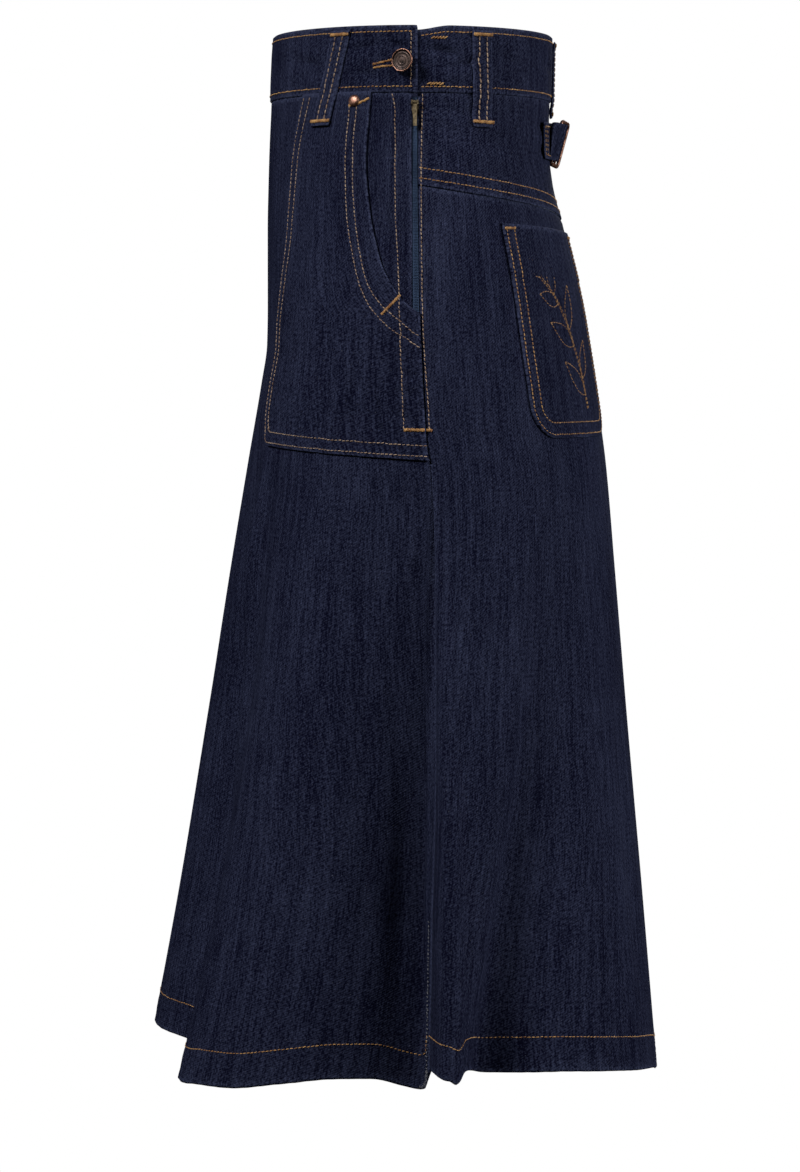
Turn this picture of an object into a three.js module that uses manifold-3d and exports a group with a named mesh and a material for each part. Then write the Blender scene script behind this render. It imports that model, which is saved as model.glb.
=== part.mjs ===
// A flared midi skirt of dark denim in its worn, hollow form, as sewn pieces at real size.
// Millimetres. +Z is up, -Y is the front, +X is the wearer's left. The origin is the centre of the
// waistband at half its height. An angle runs round the body in degrees: 0 at the front centre, 90 at
// the wearer's left side, 180 at the back centre, 270 at the right side. A drop is a distance below
// the waistband's top edge.
import * as THREE from "three";
import { mergeVertices } from "three/addons/utils/BufferGeometryUtils.js";
import Module from "manifold-3d";

const wasm = await Module();
wasm.setup();

// Cloth and clearances
const DENIM = 1.2;
const BAND_THICK = 2.6;
const LOOP_THICK = 1.8;
const TAPE_THICK = 0.8;
const GAP = 0.3;
const LAID_ON = 0.7;

// Heights, as drops
const BAND_HEIGHT = 44;
const SIDE_YOKE_DROP = 107;
const ZIP_TOP = 47;
const ZIP_END = 285;
const HEM_DEPTH = 23;
const HEM_STEP = 1;

// Waist opening on the wearer's left side
const BAND_OVER_END = 91.1;
const BAND_UNDER_END = 76;
const SLOT = 5.4;
const TUCK = 3.0;
const TUCK_ANGLE = 13;

const columns = (names, ...rows) =>
  rows.map((row) => Object.fromEntries(names.map((name, i) => [name, row[i]])));

// Outline of the outer face: half width, depth to the front and back, and how square the ring is
const SECTIONS = columns(
  ["drop", "side", "front", "back", "square"],
  [0, 122, 98, 98, 2.0],
  [44, 125, 100, 97, 2.0],
  [75, 132, 101.5, 96.5, 2.0],
  [100, 140, 102.3, 99, 2.0],
  [135, 150, 103, 107.5, 2.05],
  [187, 163, 103, 120, 2.1],
  [215, 169, 103.5, 125, 2.1],
  [243, 174, 107.5, 129.4, 2.15],
  [300, 182, 117.5, 137.5, 2.18],
  [372, 194, 130, 143.8, 2.18],
  [486, 213, 149, 153.4, 2.18],
  [600, 229, 168.5, 163.8, 2.15],
  [740, 246, 195.5, 176, 2.12],
);

// Side seams, and where the hem hangs
const SIDE_SEAM = columns(
  ["drop", "angle"],
  [0, 92.3],
  [187, 92.1],
  [221, 92.5],
  [255, 93.1],
  [285, 93.9],
  [297, 94.9],
  [330, 95.5],
  [480, 95.6],
  [600, 94.9],
  [740, 93.7],
);
const HEM = columns(
  ["angle", "drop"],
  [0, 700],
  [20, 704],
  [32, 716],
  [38, 715.5],
  [44, 713],
  [52, 711.5],
  [62, 705.8],
  [72, 702],
  [80, 703],
  [88, 709.5],
  [92, 712],
  [93.4, 711],
  [94, 698.5],
  [97, 697.5],
  [99.5, 700.5],
  [102, 696],
  [110, 700],
  [125, 700.8],
  [135, 704.2],
  [150, 713],
  [165, 723],
  [180, 735],
);
const YOKE_SEAM = columns(["angle", "drop"], [90, 106.7], [110, 112], [130, 116.5], [155, 121.5], [180, 127]);

// Folds. Each runs from its hip angle to its hem angle, grows between two drops, may fade between two
// more, falls off over a width to its front and its back, and stands out (or sinks in) by its height.
const FOLDS = columns(
  ["name", "hip", "hem", "starts", "full", "fades", "gone", "toFront", "toBack", "height"],
  ["front_left_ridge", 42, 37, 480, 740, 900, 990, 10, 20, 14],
  ["front_left_valley", 24, 19.5, 265, 440, 900, 990, 11, 15, -27],
  ["front_left_flute", 30, 27, 275, 360, 430, 600, 4, 4, 12],
  ["side_left_valley", 92.6, 91.4, 300, 600, 900, 990, 18, 1.9, -42],
  ["side_left_ridge", 98.5, 98, 330, 640, 900, 990, 3.4, 3.6, 7],
  ["back_left_valley", 127, 107, 300, 700, 900, 990, 5.5, 14, -28],
  ["back_left_swell", 150, 140, 320, 740, 900, 990, 16, 16, 8],
  ["back_right_swell", 208, 214, 320, 740, 900, 990, 15, 17, 9],
  ["back_right_valley", 238, 250, 310, 700, 900, 990, 14, 6, -26],
  ["side_right_ridge", 261, 261.5, 330, 640, 900, 990, 3.6, 3.2, 7],
  ["side_right_valley", 267.4, 268.4, 290, 610, 900, 990, 2.1, 17, -40],
  ["front_right_ridge", 319, 322, 470, 740, 900, 990, 19, 10, 15],
  ["front_right_flute", 331, 334, 270, 360, 440, 610, 4, 4, 11],
  ["front_right_valley", 337, 341, 265, 450, 900, 990, 15, 11, -26],
);

const clamp01 = (t) => Math.min(1, Math.max(0, t));
const ease = (from, to, x) => {
  const t = clamp01((x - from) / (to - from));
  return t * t * (3 - 2 * t);
};
const mix = (a, b, t) => a + (b - a) * t;
const radians = THREE.MathUtils.degToRad;

// Reads a column of a table at x, smoothly and without overshoot
function read(table, key, name, x) {
  const last = table.length - 1;
  if (x <= table[0][key]) return table[0][name];
  if (x >= table[last][key]) return table[last][name];
  const i = table.findIndex((row) => row[key] > x) - 1;
  const rise = (k) =>
    k < 0 || k >= last ? null : (table[k + 1][name] - table[k][name]) / (table[k + 1][key] - table[k][key]);
  const slope = (before, after) => {
    if (before === null || after === null) return before ?? after;
    return before * after <= 0 ? 0 : (2 * before * after) / (before + after);
  };
  const span = table[i + 1][key] - table[i][key];
  const t = (x - table[i][key]) / span;
  const startSlope = slope(rise(i - 1), rise(i));
  const endSlope = slope(rise(i), rise(i + 1));
  return (
    (1 + 2 * t) * (1 - t) ** 2 * table[i][name] +
    t * (1 - t) ** 2 * span * startSlope +
    t * t * (3 - 2 * t) * table[i + 1][name] +
    t * t * (t - 1) * span * endSlope
  );
}

const sideSeam = (drop) => read(SIDE_SEAM, "drop", "angle", drop);
const fromFront = (angle) => Math.abs((((angle + 180) % 360) + 360) % 360 - 180);
const hemDrop = (angle) => read(HEM, "angle", "drop", fromFront(angle));
const yokeDrop = (angle) => read(YOKE_SEAM, "angle", "drop", fromFront(angle));

// How far the folds push the cloth out at an angle and drop
function foldHeight(angle, drop) {
  let sum = 0;
  for (const fold of FOLDS) {
    const grown = clamp01((drop - fold.starts) / (fold.full - fold.starts)) ** 1.25;
    const left = 1 - ease(fold.fades, fold.gone, drop);
    if (grown * left === 0) continue;
    const centre = mix(fold.hip, fold.hem, clamp01((drop - fold.starts) / (740 - fold.starts)));
    const away = ((((angle - centre + 180) % 360) + 360) % 360) - 180;
    const t = away / (away < 0 ? fold.toFront : fold.toBack);
    sum += fold.height * grown * left * Math.exp(-t * t);
  }
  return sum;
}

// How far the back edge and the band's under end are tucked in behind the front at the waist opening
const tuck = (angle, drop) =>
  TUCK * (1 - ease(0, TUCK_ANGLE, angle - sideSeam(drop))) * (1 - ease(60, 200, drop));

// A point on the cloth's outer face
function bare(angle, drop, tucked) {
  const side = read(SECTIONS, "drop", "side", drop);
  const square = read(SECTIONS, "drop", "square", drop);
  const ring = (a) => {
    const s = Math.sin(radians(a));
    const c = Math.cos(radians(a));
    const depth = read(SECTIONS, "drop", c > 0 ? "front" : "back", drop);
    const k = (Math.abs(s) ** square + Math.abs(c) ** square) ** (-1 / square);
    return new THREE.Vector2(side * s * k, -depth * c * k);
  };
  const here = ring(angle);
  const along = ring(angle + 0.5).sub(ring(angle - 0.5)).normalize();
  const out = foldHeight(angle, drop) - (tucked ? tuck(angle, drop) : 0);
  return new THREE.Vector3(here.x + along.y * out, here.y - along.x * out, BAND_HEIGHT / 2 - drop);
}

// Axes on the cloth: along (towards a larger angle), up and out
function axes(angle, drop, tucked) {
  const along = bare(angle + 0.2, drop, tucked).sub(bare(angle - 0.2, drop, tucked));
  const degree = along.length() / 0.4;
  along.normalize();
  const rise = bare(angle, drop - 1, tucked).sub(bare(angle, drop + 1, tucked)).normalize();
  const out = along.clone().cross(rise).normalize();
  return { along, up: out.clone().cross(along).normalize(), out, degree };
}

const skin = (angle, drop, out, tucked = false) =>
  bare(angle, drop, tucked).addScaledVector(axes(angle, drop, tucked).out, out);

// Turns millimetres along the cloth into degrees
const degrees = (mm, angle, drop) => mm / axes(angle, drop, false).degree;

// A closed wall between an outer and an inner grid of points, rows running down, columns along
function wall(outer, inner) {
  const rows = outer.length;
  const cols = outer[0].length;
  const points = [...outer.flat(), ...inner.flat()];
  const at = (side, r, c) => side * rows * cols + r * cols + c;
  const faces = [];
  const quad = (a, b, c, d) => faces.push(a, b, c, a, c, d);
  for (let r = 0; r < rows - 1; r++)
    for (let c = 0; c < cols - 1; c++) {
      quad(at(0, r, c), at(0, r + 1, c), at(0, r + 1, c + 1), at(0, r, c + 1));
      quad(at(1, r, c), at(1, r, c + 1), at(1, r + 1, c + 1), at(1, r + 1, c));
    }
  for (let c = 0; c < cols - 1; c++) {
    quad(at(0, 0, c), at(0, 0, c + 1), at(1, 0, c + 1), at(1, 0, c));
    quad(at(0, rows - 1, c), at(1, rows - 1, c), at(1, rows - 1, c + 1), at(0, rows - 1, c + 1));
  }
  for (let r = 0; r < rows - 1; r++) {
    quad(at(0, r, 0), at(1, r, 0), at(1, r + 1, 0), at(0, r + 1, 0));
    quad(at(0, r, cols - 1), at(0, r + 1, cols - 1), at(1, r + 1, cols - 1), at(1, r, cols - 1));
  }
  const geometry = new THREE.BufferGeometry();
  geometry.setAttribute("position", new THREE.Float32BufferAttribute(points.flatMap((p) => p.toArray()), 3));
  geometry.setIndex(faces);
  return geometry;
}

// A piece of cloth: place(u, row) gives its angle and drop, outer and thick its face and wall
function cloth({ across, rows, place, outer = () => 0, thick = () => DENIM, tucked = false }) {
  const grid = (inside) =>
    rows.map((row) =>
      across.map((u) => {
        const [angle, drop] = place(u, row);
        return skin(angle, drop, outer(u, row) - (inside ? thick(u, row) : 0), tucked);
      }),
    );
  return wall(grid(false), grid(true));
}

const steps = (count) => Array.from({ length: count + 1 }, (_, i) => i / count);

// Columns between two angles, closest where the hem turns most
function spread(count, from, to) {
  const STEPS = 1440;
  const TURN_WEIGHT = 17;
  const drop = 690;
  const points = steps(STEPS).map((t) => bare(mix(from, to, t), drop, false));
  const weights = [0];
  for (let i = 1; i <= STEPS; i++) {
    const ahead = points[Math.min(i + 1, STEPS)].clone().sub(points[i]);
    const behind = points[i].clone().sub(points[i - 1]);
    const turn = i < STEPS ? ahead.angleTo(behind) : 0;
    weights.push(weights[i - 1] + behind.length() + TURN_WEIGHT * turn);
  }
  return steps(count).map((t) => {
    const i = weights.findIndex((w) => w >= t * weights[STEPS] - 1e-9);
    return i / STEPS;
  });
}

// The waistband: one strip from its under end, round the back, to its over end
function waistband() {
  const from = BAND_UNDER_END;
  const to = 360 + BAND_OVER_END;
  const under = (angle) => 1 - ease(sideSeam(0) - 1, sideSeam(0) + TUCK_ANGLE, angle);
  const LOWER_END = 3;
  return cloth({
    across: steps(86),
    rows: [0, 0.5, 1],
    place: (u, row) => {
      const angle = mix(from, to, u);
      return [angle, row * BAND_HEIGHT + LOWER_END * under(angle) * (1 - row)];
    },
    outer: (u, row) => BAND_THICK / 2 - 0.25 * (1 - 4 * (row - 0.5) ** 2),
    thick: () => BAND_THICK,
    tucked: true,
  });
}

// Rows of the long panels: fractions from the yoke seam's level to the hem stitching
const PANEL_ROWS = [0, 0.06, 0.13, 0.2, 0.26, 0.305, 0.326, 0.4, 0.48, 0.57, 0.67, 0.78, 0.89, 1, "fold", "edge"];
function panelDrop(top, angle, row) {
  if (row === "edge") return hemDrop(angle);
  if (row === "fold") return hemDrop(angle) - HEM_DEPTH + HEM_STEP;
  return mix(top, hemDrop(angle) - HEM_DEPTH, row);
}
const hemThick = (u, row) => (row === "fold" || row === "edge" ? 2 * DENIM : DENIM);

const halfGap = (angle, drop) => degrees(GAP / 2, angle, drop);

// The front edge of the waist opening, which closes on the side seam below the zip
function openingEdge(drop) {
  const seam = sideSeam(drop);
  const open = 1 - ease(ZIP_END, ZIP_END + 11, drop);
  return seam - Math.max(degrees(SLOT, seam, drop) * open, halfGap(seam, drop));
}

function frontPanel() {
  const UPPER_DROPS = [BAND_HEIGHT + GAP, 52, 62, 73, 86];
  const rows = [...UPPER_DROPS.map((drop) => ({ drop })), ...PANEL_ROWS];
  const dropOf = (angle, row) => row.drop ?? panelDrop(SIDE_YOKE_DROP, angle, row);
  return cloth({
    across: spread(48, -93.9, 93.9),
    rows,
    place: (u, row) => {
      const nearly = dropOf(mix(-94, 94, u), row);
      const right = -sideSeam(nearly) + halfGap(-90, nearly);
      const drop = dropOf(mix(right, openingEdge(nearly), u), row);
      return [mix(-sideSeam(drop) + halfGap(-90, drop), openingEdge(drop), u), drop];
    },
    thick: hemThick,
  });
}

// Angles of the back pieces, from the left seam round to the right one
function backAngle(u, drop) {
  const seam = sideSeam(drop);
  const inset = halfGap(seam, drop);
  return mix(seam + inset, 360 - seam - inset, u);
}
const BACK_ACROSS = spread(46, 94.1, 265.9);

function backYoke() {
  return cloth({
    across: BACK_ACROSS.filter((_, i) => i % 2 === 0),
    rows: steps(6),
    place: (u, row) => {
      const bottom = yokeDrop(backAngle(u, SIDE_YOKE_DROP));
      const drop = mix(BAND_HEIGHT + GAP, bottom, row);
      return [backAngle(u, drop), drop];
    },
    tucked: true,
  });
}

function backPanel() {
  const dropOf = (angle, row) => panelDrop(yokeDrop(angle) + GAP, angle, row);
  return cloth({
    across: BACK_ACROSS,
    rows: PANEL_ROWS,
    place: (u, row) => {
      const nearly = dropOf(backAngle(u, SIDE_YOKE_DROP), row);
      const drop = dropOf(backAngle(u, nearly), row);
      return [backAngle(u, drop), drop];
    },
    thick: hemThick,
    tucked: true,
  });
}

// How far a round corner of a radius takes an edge in, at a distance above the bottom
const cornerInset = (radius, above) =>
  above >= radius ? 0 : radius - Math.sqrt(Math.max(0, radius ** 2 - (radius - above) ** 2));

// Front patch pocket: its front edge, and its back edge along the slanted opening and the side
const PATCH_FRONT = columns(
  ["drop", "angle"],
  [44, 41.8],
  [90, 36],
  [140, 34],
  [173, 30.4],
  [205, 27],
  [250, 26.6],
  [290, 30],
);
const PATCH_BACK = columns(
  ["drop", "angle"],
  [44, 73.3],
  [90, 71.8],
  [126, 73.6],
  [152, 76.5],
  [163, 78.2],
  [172, 80.6],
  [184, 84.7],
  [188.5, 87.3],
  [193.5, 91.0],
);
const PATCH_BOTTOM = 290;
const PATCH_SLANT = 7;
const PATCH_CORNER = 9;
const PATCH_EDGE_IN = 0.8;
const PATCH_OUTER = LAID_ON + DENIM;
const PATCH_DROPS = [
  44.3, 52, 62, 73, 86, 99, 115, 134, 150, 161, 170, 178, 184, 188.5, 193.5, 208, 226, 246, 264, 276, 282, 286, 289, 290,
];

function frontPocket(side) {
  const OPENING_END = 193.5;
  const place = (u, row) => {
    const drop = row + PATCH_SLANT * u * ease(OPENING_END, PATCH_BOTTOM, row);
    const corner = cornerInset(PATCH_CORNER, PATCH_BOTTOM - row);
    const front = read(PATCH_FRONT, "drop", "angle", row) + degrees(corner, 30, row);
    const seam = sideSeam(drop) - degrees(PATCH_EDGE_IN, 90, drop);
    const back = row < OPENING_END ? read(PATCH_BACK, "drop", "angle", row) : seam;
    return [side * mix(front, Math.min(back, seam), u), drop];
  };
  const across = steps(12);
  return cloth({
    across: side > 0 ? across : across.reverse(),
    rows: PATCH_DROPS,
    place,
    outer: () => PATCH_OUTER,
  });
}

// Back patch pocket, with both lower corners round
const BACK_POCKET = { sideTop: 123.6, sideLow: 126.3, middleTop: 170, middleLow: 168.5 };
const BACK_POCKET_TOP = 134;
const BACK_POCKET_TILT = 4.5;
const BACK_POCKET_BOTTOM = 279;
const BACK_POCKET_CORNER = 24;
const BACK_POCKET_DROPS = [134, 160, 188, 214, 238, 255, 260, 265.5, 270.5, 274.5, 277.5, 279];

function backPocket(side) {
  const place = (u, row) => {
    const t = (row - BACK_POCKET_TOP) / (BACK_POCKET_BOTTOM - BACK_POCKET_TOP);
    const drop = row + BACK_POCKET_TILT * u * (1 - t);
    const corner = degrees(cornerInset(BACK_POCKET_CORNER, BACK_POCKET_BOTTOM - row), 147, row);
    const from = mix(BACK_POCKET.sideTop, BACK_POCKET.sideLow, t) + corner;
    const to = mix(BACK_POCKET.middleTop, BACK_POCKET.middleLow, t) - corner;
    const angle = mix(from, to, u);
    return [side > 0 ? angle : 360 - angle, drop];
  };
  const across = steps(9);
  return cloth({
    across: side > 0 ? across : across.reverse(),
    rows: BACK_POCKET_DROPS,
    place,
    outer: () => PATCH_OUTER,
  });
}

// Belt loops: angles at their top and bottom, the bottom's drop, and what their lower end lies on
const LOOPS = columns(
  ["name", "top", "bottom", "end", "on"],
  ["belt_loop_front_left", 60.7, 52.5, 63, PATCH_OUTER],
  ["belt_loop_back_left", 118, 119.2, 63, 0],
  ["belt_loop_centre_back", 180, 180, 55, 0],
  ["belt_loop_back_right", 242, 240.8, 63, 0],
  ["belt_loop_front_right", 299.3, 307.5, 63, PATCH_OUTER],
);
const LOOP_WIDTH = 15;
const LOOP_TOP = 2.5;

function beltLoop({ top, bottom, end, on }) {
  const half = degrees(LOOP_WIDTH / 2, mix(top, bottom, 0.5), 30);
  const overBand = BAND_THICK / 2 + 0.5;
  const seated = on + 0.5;
  return cloth({
    across: steps(3),
    rows: [0, 0.06, 0.3, 0.6, 0.72, 0.84, 0.94, 1],
    place: (u, row) => {
      const angle = mix(top, bottom, row) + mix(-half, half, u);
      return [angle, mix(LOOP_TOP, end, row)];
    },
    outer: (u, row) => {
      const drop = mix(LOOP_TOP, end, row);
      const under = mix(overBand, seated, ease(BAND_HEIGHT - 1, BAND_HEIGHT + 9, drop));
      return under + LOOP_THICK + 0.6 * Math.sin(Math.PI * row);
    },
    thick: () => LOOP_THICK,
  });
}

// Turns a geometry into a solid for joining and cutting, and back
function solid(geometry) {
  const plain = geometry.index ? geometry.toNonIndexed() : geometry.clone();
  plain.deleteAttribute("normal");
  plain.deleteAttribute("uv");
  const merged = mergeVertices(plain, 1e-4);
  return new wasm.Manifold(
    new wasm.Mesh({
      numProp: 3,
      vertProperties: new Float32Array(merged.attributes.position.array),
      triVerts: new Uint32Array(merged.index.array),
    }),
  );
}
function fromSolid(made) {
  const mesh = made.getMesh();
  const geometry = new THREE.BufferGeometry();
  geometry.setAttribute("position", new THREE.BufferAttribute(mesh.vertProperties.slice(), 3));
  geometry.setIndex(new THREE.BufferAttribute(mesh.triVerts.slice(), 1));
  return geometry;
}

// Places a geometry on the cloth: its X along, its Y up, its Z out
function seat(geometry, angle, drop, out, turn = new THREE.Matrix4()) {
  const { along, up, out: outward } = axes(angle, drop, false);
  const place = new THREE.Matrix4().makeBasis(along, up, outward);
  place.setPosition(skin(angle, drop, out));
  return geometry.applyMatrix4(turn).applyMatrix4(place);
}

// A slab with a flat outline, centred on its own mid plane
function slab(shape, thick, curveSegments = 10) {
  const made = new THREE.ExtrudeGeometry(shape, { depth: thick, bevelEnabled: false, curveSegments });
  return made.translate(0, 0, -thick / 2);
}

// A turned piece about Z, from pairs of radius and height
function turned(profile, segments) {
  const points = profile.map(([radius, height]) => new THREE.Vector2(radius, height));
  return new THREE.LatheGeometry(points, segments).rotateX(Math.PI / 2);
}

function roundedRectangle(width, height, radius) {
  const x = width / 2;
  const y = height / 2;
  const shape = new THREE.Shape();
  shape.moveTo(-x + radius, -y).lineTo(x - radius, -y);
  shape.absarc(x - radius, -y + radius, radius, -Math.PI / 2, 0);
  shape.absarc(x - radius, y - radius, radius, 0, Math.PI / 2);
  shape.absarc(-x + radius, y - radius, radius, Math.PI / 2, Math.PI);
  shape.absarc(-x + radius, -y + radius, radius, Math.PI, 1.5 * Math.PI);
  return shape;
}

// The waist button: a tilted disc on a shank that passes the keyhole and meets the under end
const BUTTON = { angle: 86, drop: 23.5, radius: 7.8, thick: 2.2, shank: 2.3, lift: 5.8, tilt: 22 };
const KEYHOLE = { radius: 3.1, length: 20, width: 1.6, fall: 3 };

function waistButton() {
  const { radius, thick, shank, lift, tilt } = BUTTON;
  const disc = turned(
    [
      [0, -thick / 2],
      [radius - 1, -thick / 2],
      [radius, 0],
      [radius, thick / 2],
      [radius - 1, thick / 2],
      [radius - 1.8, thick / 4],
      [0, thick / 4],
    ],
    28,
  );
  disc.applyMatrix4(new THREE.Matrix4().makeRotationY(-radians(tilt)));
  const foot = BAND_THICK / 2 - TUCK + GAP;
  const length = lift - foot;
  const stem = new THREE.CylinderGeometry(shank, shank, length, 14).rotateX(Math.PI / 2);
  stem.translate(0, 0, foot + length / 2 - lift);
  const joined = fromSolid(solid(disc).add(solid(stem)));
  return seat(joined, BUTTON.angle, BUTTON.drop, lift);
}

// Cuts the keyhole through the band's over end only
function cutKeyhole(band) {
  const depth = BAND_THICK + 1.4;
  const eye = new THREE.CylinderGeometry(KEYHOLE.radius, KEYHOLE.radius, depth, 16).rotateX(Math.PI / 2);
  const slit = new THREE.BoxGeometry(KEYHOLE.length, KEYHOLE.width, depth);
  slit.translate(-KEYHOLE.length / 2, 0, 0);
  slit.rotateZ(Math.atan(KEYHOLE.fall / KEYHOLE.length));
  const middle = -BAND_THICK / 2 - 0.15 + depth / 2;
  const tool = solid(seat(eye, BUTTON.angle, BUTTON.drop, middle));
  return fromSolid(solid(band).subtract(tool.add(solid(seat(slit, BUTTON.angle, BUTTON.drop, middle)))));
}

// Pocket rivets
const RIVET = { angle: 67, drop: 50.3, radius: 4, height: 1.7 };
function rivet(side) {
  const { radius, height } = RIVET;
  const dome = turned(
    [
      [0, 0],
      [radius, 0],
      [radius, height * 0.35],
      [radius * 0.8, height * 0.8],
      [radius * 0.4, height],
      [0, height],
    ],
    18,
  );
  return seat(dome, side * RIVET.angle, RIVET.drop, PATCH_OUTER + GAP);
}

// The zip behind the waist opening
const TAPE_WIDTH = 22;
const CHAIN_WIDTH = 3.6;
const CHAIN_HEIGHT = 1.4;
const CHAIN_END = 272;
const chainAngle = (drop) => sideSeam(drop) - degrees(SLOT / 2, sideSeam(drop), drop);
const TAPE_BEHIND = 0.75;
const tapeFace = (drop) => -(DENIM + TAPE_BEHIND + TUCK * (1 - ease(60, 200, drop)));

function zipTape() {
  const edge = TAPE_WIDTH / 2;
  const rib = CHAIN_WIDTH / 2;
  const stations = [-edge, -rib - 0.3, -rib, rib, rib + 0.3, edge];
  const raised = (u, drop) => (Math.abs(u) <= rib && drop <= CHAIN_END ? CHAIN_HEIGHT : 0);
  return cloth({
    across: stations,
    rows: [ZIP_TOP, 62, 84, 107, 141, 160, 181, 200, 221, 238, 255, CHAIN_END, CHAIN_END + 3, ZIP_END],
    place: (u, drop) => [chainAngle(drop) + degrees(u, 90, drop), drop],
    outer: (u, drop) => tapeFace(drop) + raised(u, drop),
    thick: (u, drop) => TAPE_THICK + raised(u, drop),
  });
}

// Slider: a wedge over the teeth, two ears and a pin; the pull tab hangs from the pin
const SLIDER = { drop: 54, width: 4.8, length: 9, thick: 2.2 };
const HINGE = { drop: 51.5, height: 1.8, pin: 0.5, eye: 0.85, head: 1.4 };
const PULL = { width: 2.6, length: 17, thick: 1.1 };
const EAR = 0.8;
const sliderTop = () => tapeFace(SLIDER.drop) + CHAIN_HEIGHT + GAP + SLIDER.thick;
const hingeOut = () => sliderTop() + HINGE.height;

function zipSlider() {
  const { width, length, thick } = SLIDER;
  const wedge = new THREE.Shape();
  wedge.moveTo(-width / 2, length / 2).lineTo(-width / 2, 0).lineTo(-width / 3, -length / 2);
  wedge.lineTo(width / 3, -length / 2).lineTo(width / 2, 0).lineTo(width / 2, length / 2).closePath();
  const body = slab(wedge, thick).translate(0, 0, -thick / 2);
  const ears = [-1, 1].map((side) => {
    const tall = HINGE.height + HINGE.pin + 1;
    const ear = new THREE.BoxGeometry(EAR, 3, tall);
    return ear.translate(side * (PULL.width / 2 + GAP + EAR / 2), SLIDER.drop - HINGE.drop, tall / 2 - 0.5);
  });
  const across = PULL.width + 2 * GAP + EAR;
  const pin = new THREE.CylinderGeometry(HINGE.pin, HINGE.pin, across, 10).rotateZ(Math.PI / 2);
  pin.translate(0, SLIDER.drop - HINGE.drop, HINGE.height);
  const joined = [body, ...ears, pin].map(solid).reduce((a, b) => a.add(b));
  return seat(fromSolid(joined), chainAngle(SLIDER.drop), SLIDER.drop, sliderTop());
}

function pullTab() {
  const { head, eye } = HINGE;
  const half = PULL.thick / 2;
  const turn = Math.asin(half / head);
  const side = new THREE.Shape();
  side.absarc(0, 0, head, -Math.PI / 2 + turn, 1.5 * Math.PI - turn, false);
  side.lineTo(-half, -PULL.length + half).lineTo(half, -PULL.length + half).closePath();
  side.holes.push(new THREE.Path().absarc(0, 0, eye, 0, 2 * Math.PI, true));
  const made = slab(side, PULL.width, 8).rotateY(Math.PI / 2);
  made.translate(0, SLIDER.drop - HINGE.drop, HINGE.height);
  return seat(made, chainAngle(SLIDER.drop), SLIDER.drop, sliderTop());
}

// Back cinch: two tabs and a buckle at the back centre
const CINCH_DROP = 73;
const STRAP_HEIGHT = 25;
const STRAP_THICK = 1.3;
const STRAP_TILT = 15;
const BUCKLE = { width: 24, height: 34, wire: 3, bar: 2, thick: 2.4, corner: 5 };
const BUCKLE_OUT = 9.5;
const BUCKLE_X = (BUCKLE.width - BUCKLE.wire) / 2;

// How far back the cloth lies at an x and drop
function clothY(x, drop) {
  let angle = 180;
  for (let i = 0; i < 8; i++) angle += (bare(angle, drop, true).x - x) / 1.8;
  return bare(angle, drop, true).y;
}

// A strap along a path of x and distance off the cloth; the further off, the more it leans
function strap(path) {
  const curve = new THREE.CatmullRomCurve3(path.map(([x, off]) => new THREE.Vector3(x, off, 0)));
  const count = path.length * 3;
  const line = steps(count).map((t) => curve.getPoint(t));
  const row = (z, side) =>
    line.map((p, i) => {
      const ahead = line[Math.min(i + 1, count)];
      const behind = line[Math.max(i - 1, 0)];
      const along = ahead.clone().sub(behind).normalize();
      const x = p.x + (along.y * side * STRAP_THICK) / 2;
      const off = p.y - (along.x * side * STRAP_THICK) / 2;
      const leaning = clothY(x, CINCH_DROP) + z * Math.tan(radians(STRAP_TILT));
      const base = mix(clothY(x, CINCH_DROP - z), leaning, ease(1.4, 6, off));
      return new THREE.Vector3(x, base + off, BAND_HEIGHT / 2 - CINCH_DROP + z);
    });
  const heights = [1, 0.5, 0, -0.5, -1].map((t) => (t * STRAP_HEIGHT) / 2);
  return wall(heights.map((z) => row(z, 1)), heights.map((z) => row(z, -1)));
}

const LYING = 0.35 + STRAP_THICK / 2;

function cinchTabLeft() {
  const LOOP_RADIUS = 3.05;
  const loop = [-100, -135, 180, 135, 90, 60].map((a) => [
    BUCKLE_X + LOOP_RADIUS * Math.cos(radians(a)),
    BUCKLE_OUT + LOOP_RADIUS * Math.sin(radians(a)),
  ]);
  const there = [[45, LYING], [37, LYING], [29, LYING], [21.5, 3.4], [15.5, BUCKLE_OUT - 3.4]];
  const back = [[17, BUCKLE_OUT + 0.6], [21.5, 6.9], [26, 3.6]];
  return strap([...there, ...loop, ...back].reverse());
}

function cinchTabRight() {
  const clear = BUCKLE.thick / 2 + STRAP_THICK / 2 + 0.4;
  const there = [[-45, LYING], [-37, LYING], [-29, LYING], [-22.5, 2.6], [-17, BUCKLE_OUT - 4.2]];
  const under = [[-12.5, BUCKLE_OUT - clear - 0.3], [-9.6, BUCKLE_OUT - clear - 0.1]];
  const over = [[-5, BUCKLE_OUT], [-0.9, BUCKLE_OUT + clear], [1.6, BUCKLE_OUT + clear + 0.1]];
  return strap([...there, ...under, ...over, [4.6, BUCKLE_OUT + clear - 0.3]]);
}

function cinchBuckle() {
  const { width, height, wire, bar, thick, corner } = BUCKLE;
  const frame = roundedRectangle(width, height, corner);
  const window = (width - 2 * wire - bar) / 2;
  for (const side of [-1, 1]) {
    const hole = roundedRectangle(window, height - 2 * wire, 1.2).getPoints(3);
    const shift = (side * (window + bar)) / 2;
    frame.holes.push(new THREE.Path(hole.map((p) => new THREE.Vector2(p.x + shift, p.y)).reverse()));
  }
  const made = slab(frame, thick, 4).rotateX(Math.PI / 2 - radians(STRAP_TILT));
  return made.translate(0, clothY(0, CINCH_DROP) + BUCKLE_OUT, BAND_HEIGHT / 2 - CINCH_DROP);
}

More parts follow.
